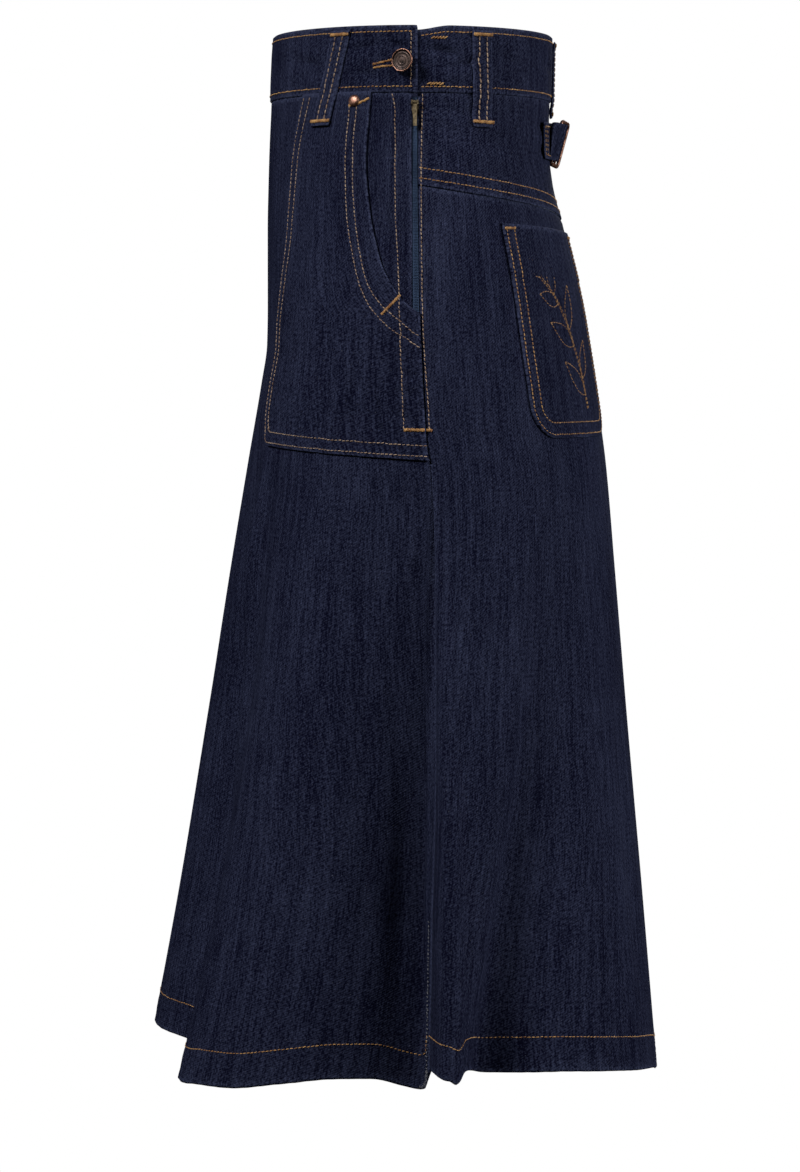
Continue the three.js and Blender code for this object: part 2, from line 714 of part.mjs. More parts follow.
// Materials
const finish = (color, roughness, metalness) =>
  new THREE.MeshStandardMaterial({ color, roughness, metalness, side: THREE.DoubleSide });
const denim = finish(0x1a2138, 0.9, 0);
const zipCloth = finish(0x24406b, 0.85, 0);
const bronze = finish(0x3b312d, 0.4, 1);
const copper = finish(0xa8705a, 0.35, 1);
const brass = finish(0xb9a183, 0.35, 1);

const skirt = new THREE.Group();
function piece(name, geometry, material) {
  const mesh = new THREE.Mesh(geometry, material);
  mesh.name = name;
  skirt.add(mesh);
}

piece("waistband", cutKeyhole(waistband()), denim);
piece("front_panel", frontPanel(), denim);
piece("back_yoke", backYoke(), denim);
piece("back_panel", backPanel(), denim);
piece("front_pocket_left", frontPocket(1), denim);
piece("front_pocket_right", frontPocket(-1), denim);
piece("back_pocket_left", backPocket(1), denim);
piece("back_pocket_right", backPocket(-1), denim);
for (const loop of LOOPS) piece(loop.name, beltLoop(loop), denim);
piece("cinch_tab_left", cinchTabLeft(), denim);
piece("cinch_tab_right", cinchTabRight(), denim);
piece("cinch_buckle", cinchBuckle(), copper);
piece("waist_button", waistButton(), bronze);
piece("rivet_left", rivet(1), copper);
piece("rivet_right", rivet(-1), copper);
piece("zip_tape", zipTape(), zipCloth);
piece("zip_slider", zipSlider(), brass);
piece("zip_pull_tab", pullTab(), brass);

export default skirt;
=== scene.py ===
"""The finished surfaces of a flared denim skirt in its worn, hollow form.

Lengths are millimetres until a mesh is made. +Z is up, -Y is the front, +X is the wearer's left. An
angle runs round the body in degrees: 0 at the front centre, 90 at the wearer's left, 180 at the back
centre. A drop is a distance below the waistband's top edge.
"""

import math

import bmesh
import bpy
import numpy as np
from mathutils import Matrix, Vector


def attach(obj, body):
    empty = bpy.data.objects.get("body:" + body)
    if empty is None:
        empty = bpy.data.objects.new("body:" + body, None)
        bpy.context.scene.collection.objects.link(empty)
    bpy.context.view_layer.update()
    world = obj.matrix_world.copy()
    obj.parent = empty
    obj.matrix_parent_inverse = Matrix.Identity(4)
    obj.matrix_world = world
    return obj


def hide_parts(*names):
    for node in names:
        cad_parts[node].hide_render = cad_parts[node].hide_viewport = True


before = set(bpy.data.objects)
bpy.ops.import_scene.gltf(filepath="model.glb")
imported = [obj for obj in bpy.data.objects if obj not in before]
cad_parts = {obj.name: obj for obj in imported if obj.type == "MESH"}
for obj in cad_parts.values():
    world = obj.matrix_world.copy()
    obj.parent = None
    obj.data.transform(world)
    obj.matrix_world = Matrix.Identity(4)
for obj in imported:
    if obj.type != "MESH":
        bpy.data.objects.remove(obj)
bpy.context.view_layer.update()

MM = 0.001
DENIM = 1.2
BAND_THICK = 2.6
LOOP_THICK = 1.3
BAND_HEIGHT = 44
GAP = 0.3
ZIP_END = 274
CHAIN_END = 264
HEM_DEPTH = 22
SLOT = 5.4
TUCK = 3.0
TUCK_ANGLE = 13
BAND_OVER_END = 91.1
BAND_UNDER_END = 76


def columns(names, *rows):
    """A table with named columns, each an array."""
    return {name: np.array([row[i] for row in rows]) for i, name in enumerate(names)}


# Outline of the outer face: half width, depth to the front and back, and how square the ring is
SECTIONS = columns(
    ["drop", "side", "front", "back", "square"],
    [0, 122, 98, 98, 2.0], [44, 125, 100, 97, 2.0], [75, 132, 101.5, 96.5, 2.0],
    [100, 140, 102.3, 99, 2.0], [135, 150, 103, 107.5, 2.05], [187, 163, 103, 120, 2.1],
    [215, 169, 103.5, 125, 2.1], [243, 174, 107.5, 129.4, 2.15], [300, 182, 117.5, 137.5, 2.18],
    [372, 194, 130, 143.8, 2.18], [486, 213, 149, 153.4, 2.18], [600, 229, 168.5, 163.8, 2.15],
    [740, 246, 195.5, 176, 2.12],
)
SIDE_SEAM = columns(
    ["drop", "angle"],
    [0, 92.3], [187, 92.1], [221, 92.5], [255, 93.1], [285, 93.9], [297, 94.9], [330, 95.5], [480, 95.6],
    [600, 94.9], [740, 93.7],
)
HEM = columns(
    ["angle", "drop"],
    [0, 700], [20, 704], [32, 716], [38, 715.5], [44, 713], [52, 711.5], [62, 705.8], [72, 702], [80, 703],
    [88, 709.5], [92, 712], [93.4, 711], [94, 698.5], [97, 697.5], [99.5, 700.5], [102, 696], [110, 700],
    [125, 700.8], [135, 704.2], [150, 713], [165, 723], [173, 729.5], [180, 732],
)
YOKE_SEAM = columns(["angle", "drop"], [90, 106.7], [110, 112], [130, 116.5], [155, 121.5], [180, 127])

# Large folds, from hip to hem: where they stand, how they grow and fade, how wide and how high
FOLDS = columns(
    ["hip", "hem", "starts", "full", "fades", "gone", "toFront", "toBack", "height"],
    [42, 37, 480, 740, 900, 990, 10, 20, 14], [24, 19.5, 265, 440, 900, 990, 11, 15, -27],
    [30, 27, 275, 360, 430, 600, 4, 4, 12], [95.4, 93.6, 300, 600, 900, 990, 21.5, 1.4, -42],
    [98.8, 98.2, 330, 640, 900, 990, 3.2, 3.2, 12], [134, 105, 300, 680, 900, 990, 6, 16, -29],
    [150, 140, 320, 740, 900, 990, 16, 16, 8], [208, 214, 320, 740, 900, 990, 15, 17, 9],
    [230, 253, 310, 690, 900, 990, 16, 6, -27], [261, 261.5, 330, 640, 900, 990, 3.4, 3.2, 11],
    [264.6, 266.4, 290, 610, 900, 990, 1.5, 21, -40], [319, 322, 470, 740, 900, 990, 19, 10, 15],
    [331, 334, 270, 360, 440, 610, 4, 4, 11], [337, 341, 265, 450, 900, 990, 15, 11, -26],
)

# Small creases from one place to another: width and depth in millimetres, a ridge where depth is below 0
CREASES = columns(
    ["angle1", "drop1", "angle2", "drop2", "width", "depth"],
    [94, 15, 110, 21, 3.4, 2.8], [104, 28, 118, 20, 2.8, 2.0], [121, 18, 142, 25, 3.8, 2.0],
    [97, 34, 112, 31, 4.5, -1.4], [124, 34, 148, 30, 3.6, 1.5], [30, 17, 56, 24, 4.2, 2.0],
    [38, 33, 57, 30, 3.6, 1.3], [64, 15, 78, 10, 3.2, 2.0], [66, 30, 79, 36, 3.4, 1.6],
    [80, 9, 88, 15, 2.4, 2.4], [83, 6, 90, 9, 2.0, -0.9], [5, 25, 28, 17, 5.0, 0.6],
    [152, 20, 172, 25, 4.5, 0.8], [190, 22, 214, 18, 4.5, 0.8], [226, 25, 246, 21, 4.0, 1.0],
    [262, 20, 282, 24, 4.5, 0.9], [302, 22, 326, 19, 4.5, 0.7], [75, 55, 80, 150, 2.6, 2.4],
    [78, 90, 83, 178, 2.3, 2.0], [80, 60, 86, 92, 3.0, 1.5], [84, 110, 80, 140, 2.8, 1.4],
    [69, 215, 72, 300, 4.0, 2.8], [64, 225, 61, 290, 4.6, -2.2], [77, 235, 82, 288, 3.0, 2.3],
    [58, 240, 55, 300, 4.0, 1.8], [56, 150, 60, 260, 7.0, 1.7], [48, 120, 51, 240, 9.0, -1.0],
    [85, 205, 90, 214, 2.4, 1.5], [84, 234, 92, 240, 2.4, 1.4], [83, 250, 92, 246, 2.4, 1.4],
    [83, 262, 90, 268, 2.6, 1.2], [97, 52, 122, 60, 5.0, 1.6], [96, 66, 112, 78, 5.0, 1.3],
    [103, 84, 138, 90, 8.0, -0.8], [118, 72, 160, 96, 7.0, 1.9], [150, 58, 171, 66, 5.0, 1.8],
    [152, 84, 170, 80, 5.0, 1.5], [190, 66, 210, 58, 5.0, 1.8], [190, 80, 209, 86, 5.0, 1.5],
    [200, 96, 242, 72, 8.0, 1.2], [228, 66, 262, 56, 7.0, 0.8], [284, 60, 281, 120, 3.2, 1.2],
    [291, 215, 288, 300, 5.5, 1.4], [299, 225, 302, 290, 6.0, -1.0], [304, 150, 300, 262, 8.0, 1.1],
    [312, 120, 309, 240, 9.0, -0.9], [14, 60, 22, 170, 9.0, -1.0], [346, 60, 338, 170, 9.0, -1.0],
    [70, 330, 74, 560, 16.0, 2.2], [60, 420, 58, 690, 18.0, -2.0], [82, 400, 84, 690, 9.0, 1.6],
    [116, 340, 112, 600, 11.0, 1.4], [140, 300, 128, 660, 16.0, -2.4], [158, 420, 156, 700, 16.0, 2.2],
    [290, 330, 286, 560, 16.0, 2.2], [301, 420, 303, 690, 18.0, -2.0], [220, 300, 232, 660, 16.0, -2.2],
    [200, 420, 203, 700, 16.0, 2.2],
)

# Front patch pocket
PATCH_FRONT = columns(
    ["drop", "angle"],
    [44, 41.8], [90, 36], [140, 34], [173, 30.4], [205, 27], [250, 26.6], [290, 30],
)
PATCH_BACK = columns(
    ["drop", "angle"],
    [44, 73.3], [90, 71.8], [126, 73.6], [152, 76.5], [163, 78.2], [172, 80.6], [184, 84.7], [188.5, 87.3],
    [193.5, 91.0],
)
PATCH_BOTTOM = 285
PATCH_SLANT = 7.5
PATCH_CORNER = 9
PATCH_OPENING_END = 193.5
PATCH_OUT = 1.9

# Back patch pocket
BACK_POCKET = {"side_top": 123.6, "side_low": 126.3, "middle_top": 170, "middle_low": 168.5}
BACK_POCKET_TOP = 134
BACK_POCKET_TILT = 4.5
BACK_POCKET_BOTTOM = 279
BACK_POCKET_CORNER = 24

# Belt loops: angle at the top and the bottom, drop of the lower end, and what it lies on
LOOPS = columns(
    ["name", "top", "bottom", "end", "on"],
    ["belt_loop_front_left", 60.7, 52.5, 66.5, PATCH_OUT],
    ["belt_loop_back_left", 118, 119.2, 67.5, 0],
    ["belt_loop_centre_back", 180, 180, 55, 0],
    ["belt_loop_back_right", 242, 240.8, 67.5, 0],
    ["belt_loop_front_right", 299.3, 307.5, 66.5, PATCH_OUT],
)
LOOP_WIDTH = 15
LOOP_TOP = 2.5


def clamp01(t):
    return np.clip(t, 0.0, 1.0)


def ease(start, end, x):
    t = clamp01((x - start) / (end - start))
    return t * t * (3 - 2 * t)


def mix(a, b, t):
    return a + (b - a) * t


def read(table, key, name, x):
    """Reads a column of a table at x, smoothly and without overshoot."""
    keys = table[key].astype(float)
    values = table[name].astype(float)
    x = np.clip(np.asarray(x, float), keys[0], keys[-1])
    i = np.clip(np.searchsorted(keys, x, side="right") - 1, 0, len(keys) - 2)
    rise = np.diff(values) / np.diff(keys)
    slope = np.empty(len(keys))
    slope[0] = rise[0]
    slope[-1] = rise[-1]
    product = rise[:-1] * rise[1:]
    total = rise[:-1] + rise[1:]
    slope[1:-1] = np.where(product > 0, 2 * product / np.where(total == 0, 1, total), 0)
    span = keys[i + 1] - keys[i]
    t = (x - keys[i]) / span
    return (
        (1 + 2 * t) * (1 - t) ** 2 * values[i]
        + t * (1 - t) ** 2 * span * slope[i]
        + t * t * (3 - 2 * t) * values[i + 1]
        + t * t * (t - 1) * span * slope[i + 1]
    )


def turn_from(angle, centre):
    """Signed degrees from a centre to an angle, between -180 and 180."""
    return (np.asarray(angle, float) - centre + 180) % 360 - 180


def side_seam(drop):
    return read(SIDE_SEAM, "drop", "angle", drop)


def hem_drop(angle):
    return read(HEM, "angle", "drop", np.abs(turn_from(angle, 0)))


def yoke_drop(angle):
    return read(YOKE_SEAM, "angle", "drop", np.abs(turn_from(angle, 0)))


def degree_length(drop):
    """About how many millimetres of cloth a degree spans at a drop."""
    side = read(SECTIONS, "drop", "side", drop)
    depth = read(SECTIONS, "drop", "front", drop) + read(SECTIONS, "drop", "back", drop)
    return math.radians(1) * (side + depth / 2) / 2


def fold_height(angle, drop):
    total = 0.0
    for i in range(len(FOLDS["hip"])):
        fold = {name: column[i] for name, column in FOLDS.items()}
        grown = clamp01((drop - fold["starts"]) / (fold["full"] - fold["starts"])) ** 1.25
        left = 1 - ease(fold["fades"], fold["gone"], drop)
        along = clamp01((drop - fold["starts"]) / (740 - fold["starts"]))
        away = turn_from(angle, mix(fold["hip"], fold["hem"], along))
        t = away / np.where(away < 0, fold["toFront"], fold["toBack"])
        total = total + fold["height"] * grown * left * np.exp(-t * t)
    return total


def crease_height(angle, drop):
    total = 0.0
    across = degree_length(drop)
    for i in range(len(CREASES["width"])):
        crease = {name: column[i] for name, column in CREASES.items()}
        x = turn_from(angle, crease["angle1"]) * across
        y = drop - crease["drop1"]
        end_x = turn_from(crease["angle2"], crease["angle1"]) * across
        end_y = crease["drop2"] - crease["drop1"]
        length = np.hypot(end_x, end_y)
        along = (x * end_x + y * end_y) / length
        away = (x * end_y - y * end_x) / length
        bend = 0.12 * length * np.sin(math.pi * clamp01(along / length)) * (-1) ** i * 0.35
        near = np.exp(-(((away - bend) / crease["width"]) ** 2))
        t = along / length
        taper = ease(-0.12, 0.4, t) * (1 - ease(0.6, 1.12, t))
        total = total - crease["depth"] * near * taper
    return total


def rope(distance, along, reach, pitch, lean):
    """Small puckers across a sewn line, from the distance to it and the length along it."""
    wave = np.sin(2 * math.pi * (along + lean * distance) / pitch + 1.7 * np.sin(along / 31))
    strong = 0.55 + 0.45 * np.sin(along / 23 + 1) * np.sin(along / 57)
    return wave * strong * np.exp(-((distance / reach) ** 2))


def pucker_height(angle, drop):
    along = np.asarray(angle, float) * degree_length(drop)
    hem = hem_drop(angle)
    total = 0.42 * rope(drop - hem + HEM_DEPTH * 0.55, along, HEM_DEPTH * 0.62, 12, 0.7)
    total = total + 0.22 * rope(drop - BAND_HEIGHT - 3, along, 7, 9, 0.3)
    total = total + 0.2 * rope(drop - BAND_HEIGHT + 5, along, 5, 8, 0.5)
    from_back = np.abs(turn_from(angle, 180))
    yoke = ease(92, 82, from_back)
    total = total + 0.2 * yoke * rope(drop - yoke_drop(angle), along, 8, 9, 0.3)
    for side in (1, -1):
        away = turn_from(angle, side * side_seam(drop)) * degree_length(drop)
        below = ease(50, 80, drop)
        total = total + 0.35 * below * rope(away, drop + 7 * side, 9, 13, 0.4)
    return total


def tuck(angle, drop):
    """How far the back edge goes in behind the front at the waist opening."""
    beyond = np.asarray(angle, float) - side_seam(drop)
    return TUCK * (1 - ease(0, TUCK_ANGLE, beyond)) * (1 - ease(60, 200, drop))


def ring(angle, drop):
    s = np.sin(np.radians(angle))
    c = np.cos(np.radians(angle))
    side = read(SECTIONS, "drop", "side", drop)
    square = read(SECTIONS, "drop", "square", drop)
    depth = np.where(c > 0, read(SECTIONS, "drop", "front", drop), read(SECTIONS, "drop", "back", drop))
    k = (np.abs(s) ** square + np.abs(c) ** square) ** (-1 / square)
    return side * s * k, -depth * c * k


def bare(angle, drop, tucked=False, fine=True):
    """A point on the cloth's outer face."""
    x, y = ring(angle, drop)
    ahead_x, ahead_y = ring(angle + 0.5, drop)
    behind_x, behind_y = ring(angle - 0.5, drop)
    along_x = ahead_x - behind_x
    along_y = ahead_y - behind_y
    length = np.hypot(along_x, along_y)
    out = fold_height(angle, drop)
    if fine:
        out = out + crease_height(angle, drop) + pucker_height(angle, drop)
    if tucked:
        out = out - tuck(angle, drop)
    z = BAND_HEIGHT / 2 - np.asarray(drop, float)
    return np.stack(np.broadcast_arrays(x + along_y / length * out, y - along_x / length * out, z), -1)


def unit(v):
    return v / np.linalg.norm(v, axis=-1, keepdims=True)


def axes(angle, drop, tucked=False, fine=True):
    """Directions on the cloth: along (to a larger angle), up and out."""
    along = unit(bare(angle + 0.2, drop, tucked, fine) - bare(angle - 0.2, drop, tucked, fine))
    rise = unit(bare(angle, drop - 1, tucked, fine) - bare(angle, drop + 1, tucked, fine))
    out = unit(np.cross(along, rise))
    return along, unit(np.cross(out, along)), out


def skin(angle, drop, out, tucked=False, fine=True):
    angle, drop, out = np.broadcast_arrays(*(np.asarray(v, float) for v in (angle, drop, out)))
    normal = axes(angle, drop, tucked, fine)[2]
    return bare(angle, drop, tucked, fine) + normal * out[..., None]


def degrees(mm, angle, drop):
    """Turns millimetres along the cloth into degrees."""
    ahead = bare(np.asarray(angle) + 0.2, drop, False, False)
    behind = bare(np.asarray(angle) - 0.2, drop, False, False)
    return mm * 0.4 / np.linalg.norm(ahead - behind, axis=-1)


def half_gap(angle, drop):
    return degrees(GAP / 2, angle, drop)


def opening_edge(drop):
    seam = side_seam(drop)
    is_open = 1 - ease(ZIP_END, ZIP_END + 11, drop)
    return seam - np.maximum(degrees(SLOT, seam, drop) * is_open, half_gap(seam, drop))


# Materials


class Nodes:
    """A small helper that adds and links shader nodes."""

    def __init__(self, name):
        self.material = bpy.data.materials.new(name)
        self.material.use_nodes = True
        self.tree = self.material.node_tree
        self.shader = self.tree.nodes["Principled BSDF"]

    def add(self, kind, settings=None, **inputs):
        node = self.tree.nodes.new(kind)
        for key, value in (settings or {}).items():
            setattr(node, key, value)
        for key, value in inputs.items():
            self.put(node.inputs[key.replace("_", " ")], value)
        return node

    def put(self, socket, value):
        if isinstance(value, bpy.types.NodeSocket):
            self.tree.links.new(value, socket)
        else:
            socket.default_value = value

    def maths(self, operation, a, b=0.0, clamp=False):
        node = self.add("ShaderNodeMath", {"operation": operation, "use_clamp": clamp})
        self.put(node.inputs[0], a)
        self.put(node.inputs[1], b)
        return node.outputs[0]

    def ramp(self, value, start, end, low=0.0, high=1.0):
        node = self.add("ShaderNodeMapRange", {"clamp": True}, Value=value, From_Min=start, From_Max=end)
        node.inputs["To Min"].default_value = low
        node.inputs["To Max"].default_value = high
        return node.outputs[0]

    def blend(self, factor, a, b):
        node = self.add("ShaderNodeMix", {"data_type": "RGBA"})
        self.put(node.inputs[0], factor)
        self.put(node.inputs[6], a)
        self.put(node.inputs[7], b)
        return node.outputs[2]

    def noise(self, vector, scale, detail=2.0, rough=0.5):
        node = self.add("ShaderNodeTexNoise", Scale=scale, Detail=detail, Roughness=rough, Vector=vector)
        return node.outputs["Fac"]

    def stretch(self, vector, x, y, z=1.0, turn=0.0):
        return self.add("ShaderNodeMapping", Vector=vector, Scale=(x, y, z), Rotation=(0, 0, turn)).outputs[0]

    def waves(self, vector, direction, distortion):
        settings = {"wave_type": "BANDS", "bands_direction": direction}
        node = self.add("ShaderNodeTexWave", settings, Scale=1.0, Distortion=distortion, Vector=vector)
        return node.outputs["Fac"]

    def bump(self, strength, distance, height):
        node = self.add("ShaderNodeBump", Strength=strength, Distance=distance, Height=height)
        self.put(self.shader.inputs["Normal"], node.outputs[0])


def denim(name, warp, weft, lift, fleck):
    """Twill with slubs along the warp, pale flecks, and paler worn edges."""
    n = Nodes(name)
    uv = n.add("ShaderNodeTexCoord").outputs["UV"]
    wear = n.add("ShaderNodeAttribute", {"attribute_name": "wear"}).outputs["Fac"]
    slub = n.noise(n.stretch(uv, 780, 55), 1.0, 3, 0.6)
    long_slub = n.noise(n.stretch(uv, 210, 9), 1.0, 2, 0.5)
    grain = n.noise(n.stretch(uv, 820, 520), 1.0, 2, 0.6)
    cloud = n.noise(n.stretch(uv, 14, 8), 1.0, 3, 0.5)
    ribs = n.waves(n.stretch(uv, 210, 210, 1, math.radians(62)), "X", 0.6)
    picks = n.waves(n.stretch(uv, 300, 300), "Y", 0.4)
    pale = 0.0
    for part, amount in ((slub, 1.0), (long_slub, 0.55), (grain, 1.7), (cloud, 0.4), (ribs, 0.16)):
        pale = n.maths("ADD", pale, n.maths("MULTIPLY", n.maths("SUBTRACT", part, 0.5), amount))
    edge = n.maths("MULTIPLY", wear, n.ramp(grain, 0.3, 0.7, 0.15, 1.0))
    pale = n.maths("ADD", pale, n.maths("MULTIPLY", edge, 0.55))
    pale = n.maths("ADD", pale, lift, clamp=True)
    colour = n.blend(pale, warp, weft)
    spot = n.ramp(n.noise(n.stretch(uv, 1500, 900), 1.0, 1, 0.4), 0.70, 0.82, 0, 0.5)
    n.put(n.shader.inputs["Base Color"], n.blend(spot, colour, fleck))
    n.put(n.shader.inputs["Roughness"], n.ramp(grain, 0.2, 0.8, 0.8, 0.95))
    n.shader.inputs["Specular IOR Level"].default_value = 0.02
    height = n.maths("ADD", n.maths("MULTIPLY", ribs, 0.7), n.maths("MULTIPLY", slub, 0.9))
    height = n.maths("ADD", height, n.maths("MULTIPLY", picks, 0.25))
    n.bump(0.55, 0.0003, height)
    return n.material


def thread(name, dark, light):
    """Plied sewing thread, whose colour varies from stitch to stitch."""
    n = Nodes(name)
    place = n.add("ShaderNodeTexCoord").outputs["Object"]
    vary = n.noise(place, 260, 1, 0.5)
    fine = n.noise(place, 1900, 2, 0.5)
    speck = n.maths("MULTIPLY", n.maths("SUBTRACT", fine, 0.5), 0.8)
    amount = n.maths("ADD", n.ramp(vary, 0.3, 0.7), speck, True)
    n.put(n.shader.inputs["Base Color"], n.blend(amount, dark, light))
    n.shader.inputs["Roughness"].default_value = 0.6
    n.shader.inputs["Sheen Weight"].default_value = 0.15
    n.bump(0.5, 0.0002, fine)
    return n.material


def metal(name, dark, light, rough, rough_high):
    """Metal with darker patches at random, a worn shine and fine scratches."""
    n = Nodes(name)
    place = n.add("ShaderNodeTexCoord").outputs["Object"]
    patina = n.noise(place, 330, 4, 0.6)
    fine = n.noise(n.stretch(place, 1, 1, 0.25), 2700, 3, 0.6)
    n.put(n.shader.inputs["Base Color"], n.blend(n.ramp(patina, 0.35, 0.65), dark, light))
    n.shader.inputs["Metallic"].default_value = 1.0
    n.put(n.shader.inputs["Roughness"], n.ramp(fine, 0.3, 0.7, rough, rough_high))
    n.bump(0.25, 0.0001, fine)
    return n.material


def zip_tape_cloth():
    """Blue herringbone tape."""
    n = Nodes("zip_tape_cloth")
    place = n.add("ShaderNodeTexCoord").outputs["Object"]
    rows = n.add("ShaderNodeTexWave", {"bands_direction": "Z"}, Scale=420, Distortion=1.0, Vector=place)
    vary = n.noise(place, 500, 2)
    amount = n.maths("ADD", n.maths("MULTIPLY", rows.outputs["Fac"], 0.5), n.maths("MULTIPLY", vary, 0.5))
    colour = n.blend(amount, (0.009, 0.022, 0.060, 1), (0.032, 0.070, 0.15, 1))
    n.put(n.shader.inputs["Base Color"], colour)
    n.shader.inputs["Roughness"].default_value = 0.8
    n.bump(0.4, 0.0002, rows.outputs["Fac"])
    return n.material


INDIGO = (0.0035, 0.0040, 0.0150, 1)
FADED = (0.058, 0.069, 0.132, 1)
DENIM_FACE = denim("denim_face", INDIGO, FADED, 0.22, (0.17, 0.18, 0.22, 1))
DENIM_REVERSE = denim("denim_reverse", (0.10, 0.13, 0.22, 1), (0.36, 0.39, 0.45, 1), 0.5, (0.5, 0.5, 0.5, 1))
THREAD_GOLD = thread("thread_gold", (0.26, 0.10, 0.022, 1), (0.62, 0.35, 0.12, 1))
THREAD_CREAM = thread("thread_cream", (0.16, 0.085, 0.05, 1), (0.50, 0.36, 0.25, 1))
COPPER = metal("copper_metal", (0.16, 0.07, 0.045, 1), (0.55, 0.30, 0.22, 1), 0.34, 0.55)
BRONZE = metal("bronze_metal", (0.030, 0.024, 0.024, 1), (0.10, 0.07, 0.06, 1), 0.34, 0.55)
BRASS = metal("brass_metal", (0.10, 0.075, 0.045, 1), (0.42, 0.33, 0.2, 1), 0.4, 0.6)
ZIP_BLUE = zip_tape_cloth()
FRAYED = thread("frayed_cotton", (0.10, 0.11, 0.14, 1), (0.30, 0.30, 0.32, 1))


# Cloth pieces


def finish_mesh(name, points, faces, indices, uv, wear, materials):
    """Makes an object from millimetre points and rides it on the skirt."""
    mesh = bpy.data.meshes.new(name)
    mesh.from_pydata((np.asarray(points) * MM).tolist(), [], faces)
    for material in materials:
        mesh.materials.append(material)
    mesh.polygons.foreach_set("material_index", indices)
    mesh.polygons.foreach_set("use_smooth", [True] * len(faces))
    if uv is not None:
        layer = mesh.uv_layers.new(name="UVMap")
        loops = np.empty(len(mesh.loops), int)
        mesh.loops.foreach_get("vertex_index", loops)
        layer.data.foreach_set("uv", (np.asarray(uv)[loops] * MM).ravel())
    if wear is not None:
        mesh.attributes.new("wear", "FLOAT", "POINT").data.foreach_set("value", np.asarray(wear, float))
    turned = bmesh.new()
    turned.from_mesh(mesh)
    bmesh.ops.recalc_face_normals(turned, faces=turned.faces)
    turned.to_mesh(mesh)
    turned.free()
    piece = bpy.data.objects.new(name, mesh)
    bpy.context.collection.objects.link(piece)
    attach(piece, "skirt")
    return piece


def plain_mesh(name, points, faces, material):
    """A mesh of one material."""
    return finish_mesh(name, points, faces, [0] * len(faces), None, None, (material,))


def perimeter(rows, cols):
    """Grid places round the edge, in order."""
    top = [(0, c) for c in range(cols)]
    right = [(r, cols - 1) for r in range(1, rows)]
    bottom = [(rows - 1, c) for c in range(cols - 2, -1, -1)]
    left = [(r, 0) for r in range(rows - 2, 0, -1)]
    return np.array(top + right + bottom + left)


ROUND_EDGE = 0.45


def cloth_wall(name, outer, inner, uv, wear, materials=None):
    """A closed wall of cloth with rounded edges between an outer and an inner grid."""
    rows, cols = outer.shape[:2]
    count = rows * cols
    edge = perimeter(rows, cols)
    inward = np.clip(edge, 1, [rows - 2, cols - 2])
    outward = unit(outer[edge[:, 0], edge[:, 1]] - outer[inward[:, 0], inward[:, 1]])
    middle = (outer[edge[:, 0], edge[:, 1]] + inner[edge[:, 0], edge[:, 1]]) / 2
    thick = np.linalg.norm(outer[edge[:, 0], edge[:, 1]] - inner[edge[:, 0], edge[:, 1]], axis=-1)
    rim = middle + outward * (thick * ROUND_EDGE)[:, None]
    points = np.concatenate([outer.reshape(-1, 3), inner.reshape(-1, 3), rim])
    grid = np.arange(count).reshape(rows, cols)
    quads = np.stack([grid[:-1, :-1], grid[1:, :-1], grid[1:, 1:], grid[:-1, 1:]], -1).reshape(-1, 4)
    at = edge[:, 0] * cols + edge[:, 1]
    after = np.roll(at, -1)
    mid = 2 * count + np.arange(len(edge))
    mid_after = np.roll(mid, -1)
    rim_outer = np.stack([at, after, mid_after, mid], -1)
    rim_inner = np.stack([at + count, mid, mid_after, after + count], -1)
    faces = np.concatenate([quads, quads[:, ::-1] + count, rim_outer, rim_inner])
    sides = (np.zeros(len(quads)), np.ones(len(quads)), np.zeros(2 * len(edge)))
    indices = np.concatenate(sides).astype(int)
    flat = uv.reshape(-1, 2)
    all_uv = np.concatenate([flat, flat, flat[at]])
    worn = wear.reshape(-1)
    all_wear = np.concatenate([worn, worn, np.ones(len(edge))])
    kinds = materials or (DENIM_FACE, DENIM_REVERSE)
    return finish_mesh(name, points, faces.tolist(), indices, all_uv, all_wear, kinds)


def lengths(points, axis=0):
    """Length along a line or a grid of points, from its start."""
    step = np.linalg.norm(np.diff(points, axis=axis), axis=-1)
    start = np.zeros_like(np.take(step, [0], axis=axis))
    return np.concatenate([start, np.cumsum(step, axis=axis)], axis=axis)


def edge_wear(outer, reach):
    """Wear that falls off within a reach of the grid's edges."""
    across = lengths(outer, 1)
    down = lengths(outer, 0)
    near = np.minimum.reduce([across, across[:, -1:] - across, down, down[-1:] - down])
    return np.exp(-near / reach)


def cloth(name, u, row, place, out, thick, tucked=False, wear_reach=1.4):
    """One cloth piece. place(u, row) gives angles and drops; out and thick may depend on them."""
    u_grid, row_grid = np.meshgrid(u, row)
    angle, drop = place(u_grid, row_grid)
    face = out(angle, drop, u_grid, row_grid) if callable(out) else out
    wall = thick(angle, drop) if callable(thick) else thick
    outer = skin(angle, drop, face, tucked)
    inner = skin(angle, drop, face - wall, tucked)
    across = lengths(outer, 1)
    warp = (across / across[:, -1:] - 0.5) * across[:, -1].mean()
    uv = np.stack([warp + 37 * len(name), -drop + 11 * len(name)], -1)
    piece = cloth_wall(name + "_cloth", outer, inner, uv, edge_wear(outer, wear_reach))
    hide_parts(name)
    return piece


def spread(count, start, end):
    """Fractions between two angles, closest together where the hem turns most."""
    fine = np.linspace(start, end, 2881)
    points = bare(fine, 690.0, False, False)[:, :2]
    step = np.diff(points, axis=0)
    length = np.linalg.norm(step, axis=1)
    heading = np.unwrap(np.arctan2(step[:, 1], step[:, 0]))
    turn = np.abs(np.gradient(heading))
    weight = np.concatenate([[0], np.cumsum(length + 26 * turn)])
    return np.interp(np.linspace(0, 1, count + 1), weight / weight[-1], (fine - start) / (end - start))


def with_edges(u, width):
    """Adds closely spaced steps at both ends of the fractions u, for a width in millimetres."""
    close = np.array([0.7, 1.6, 3.0]) / width
    inner = u[(u > close[-1] * 1.3) & (u < 1 - close[-1] * 1.3)]
    return np.concatenate([[0], close, inner, 1 - close[::-1], [1]])


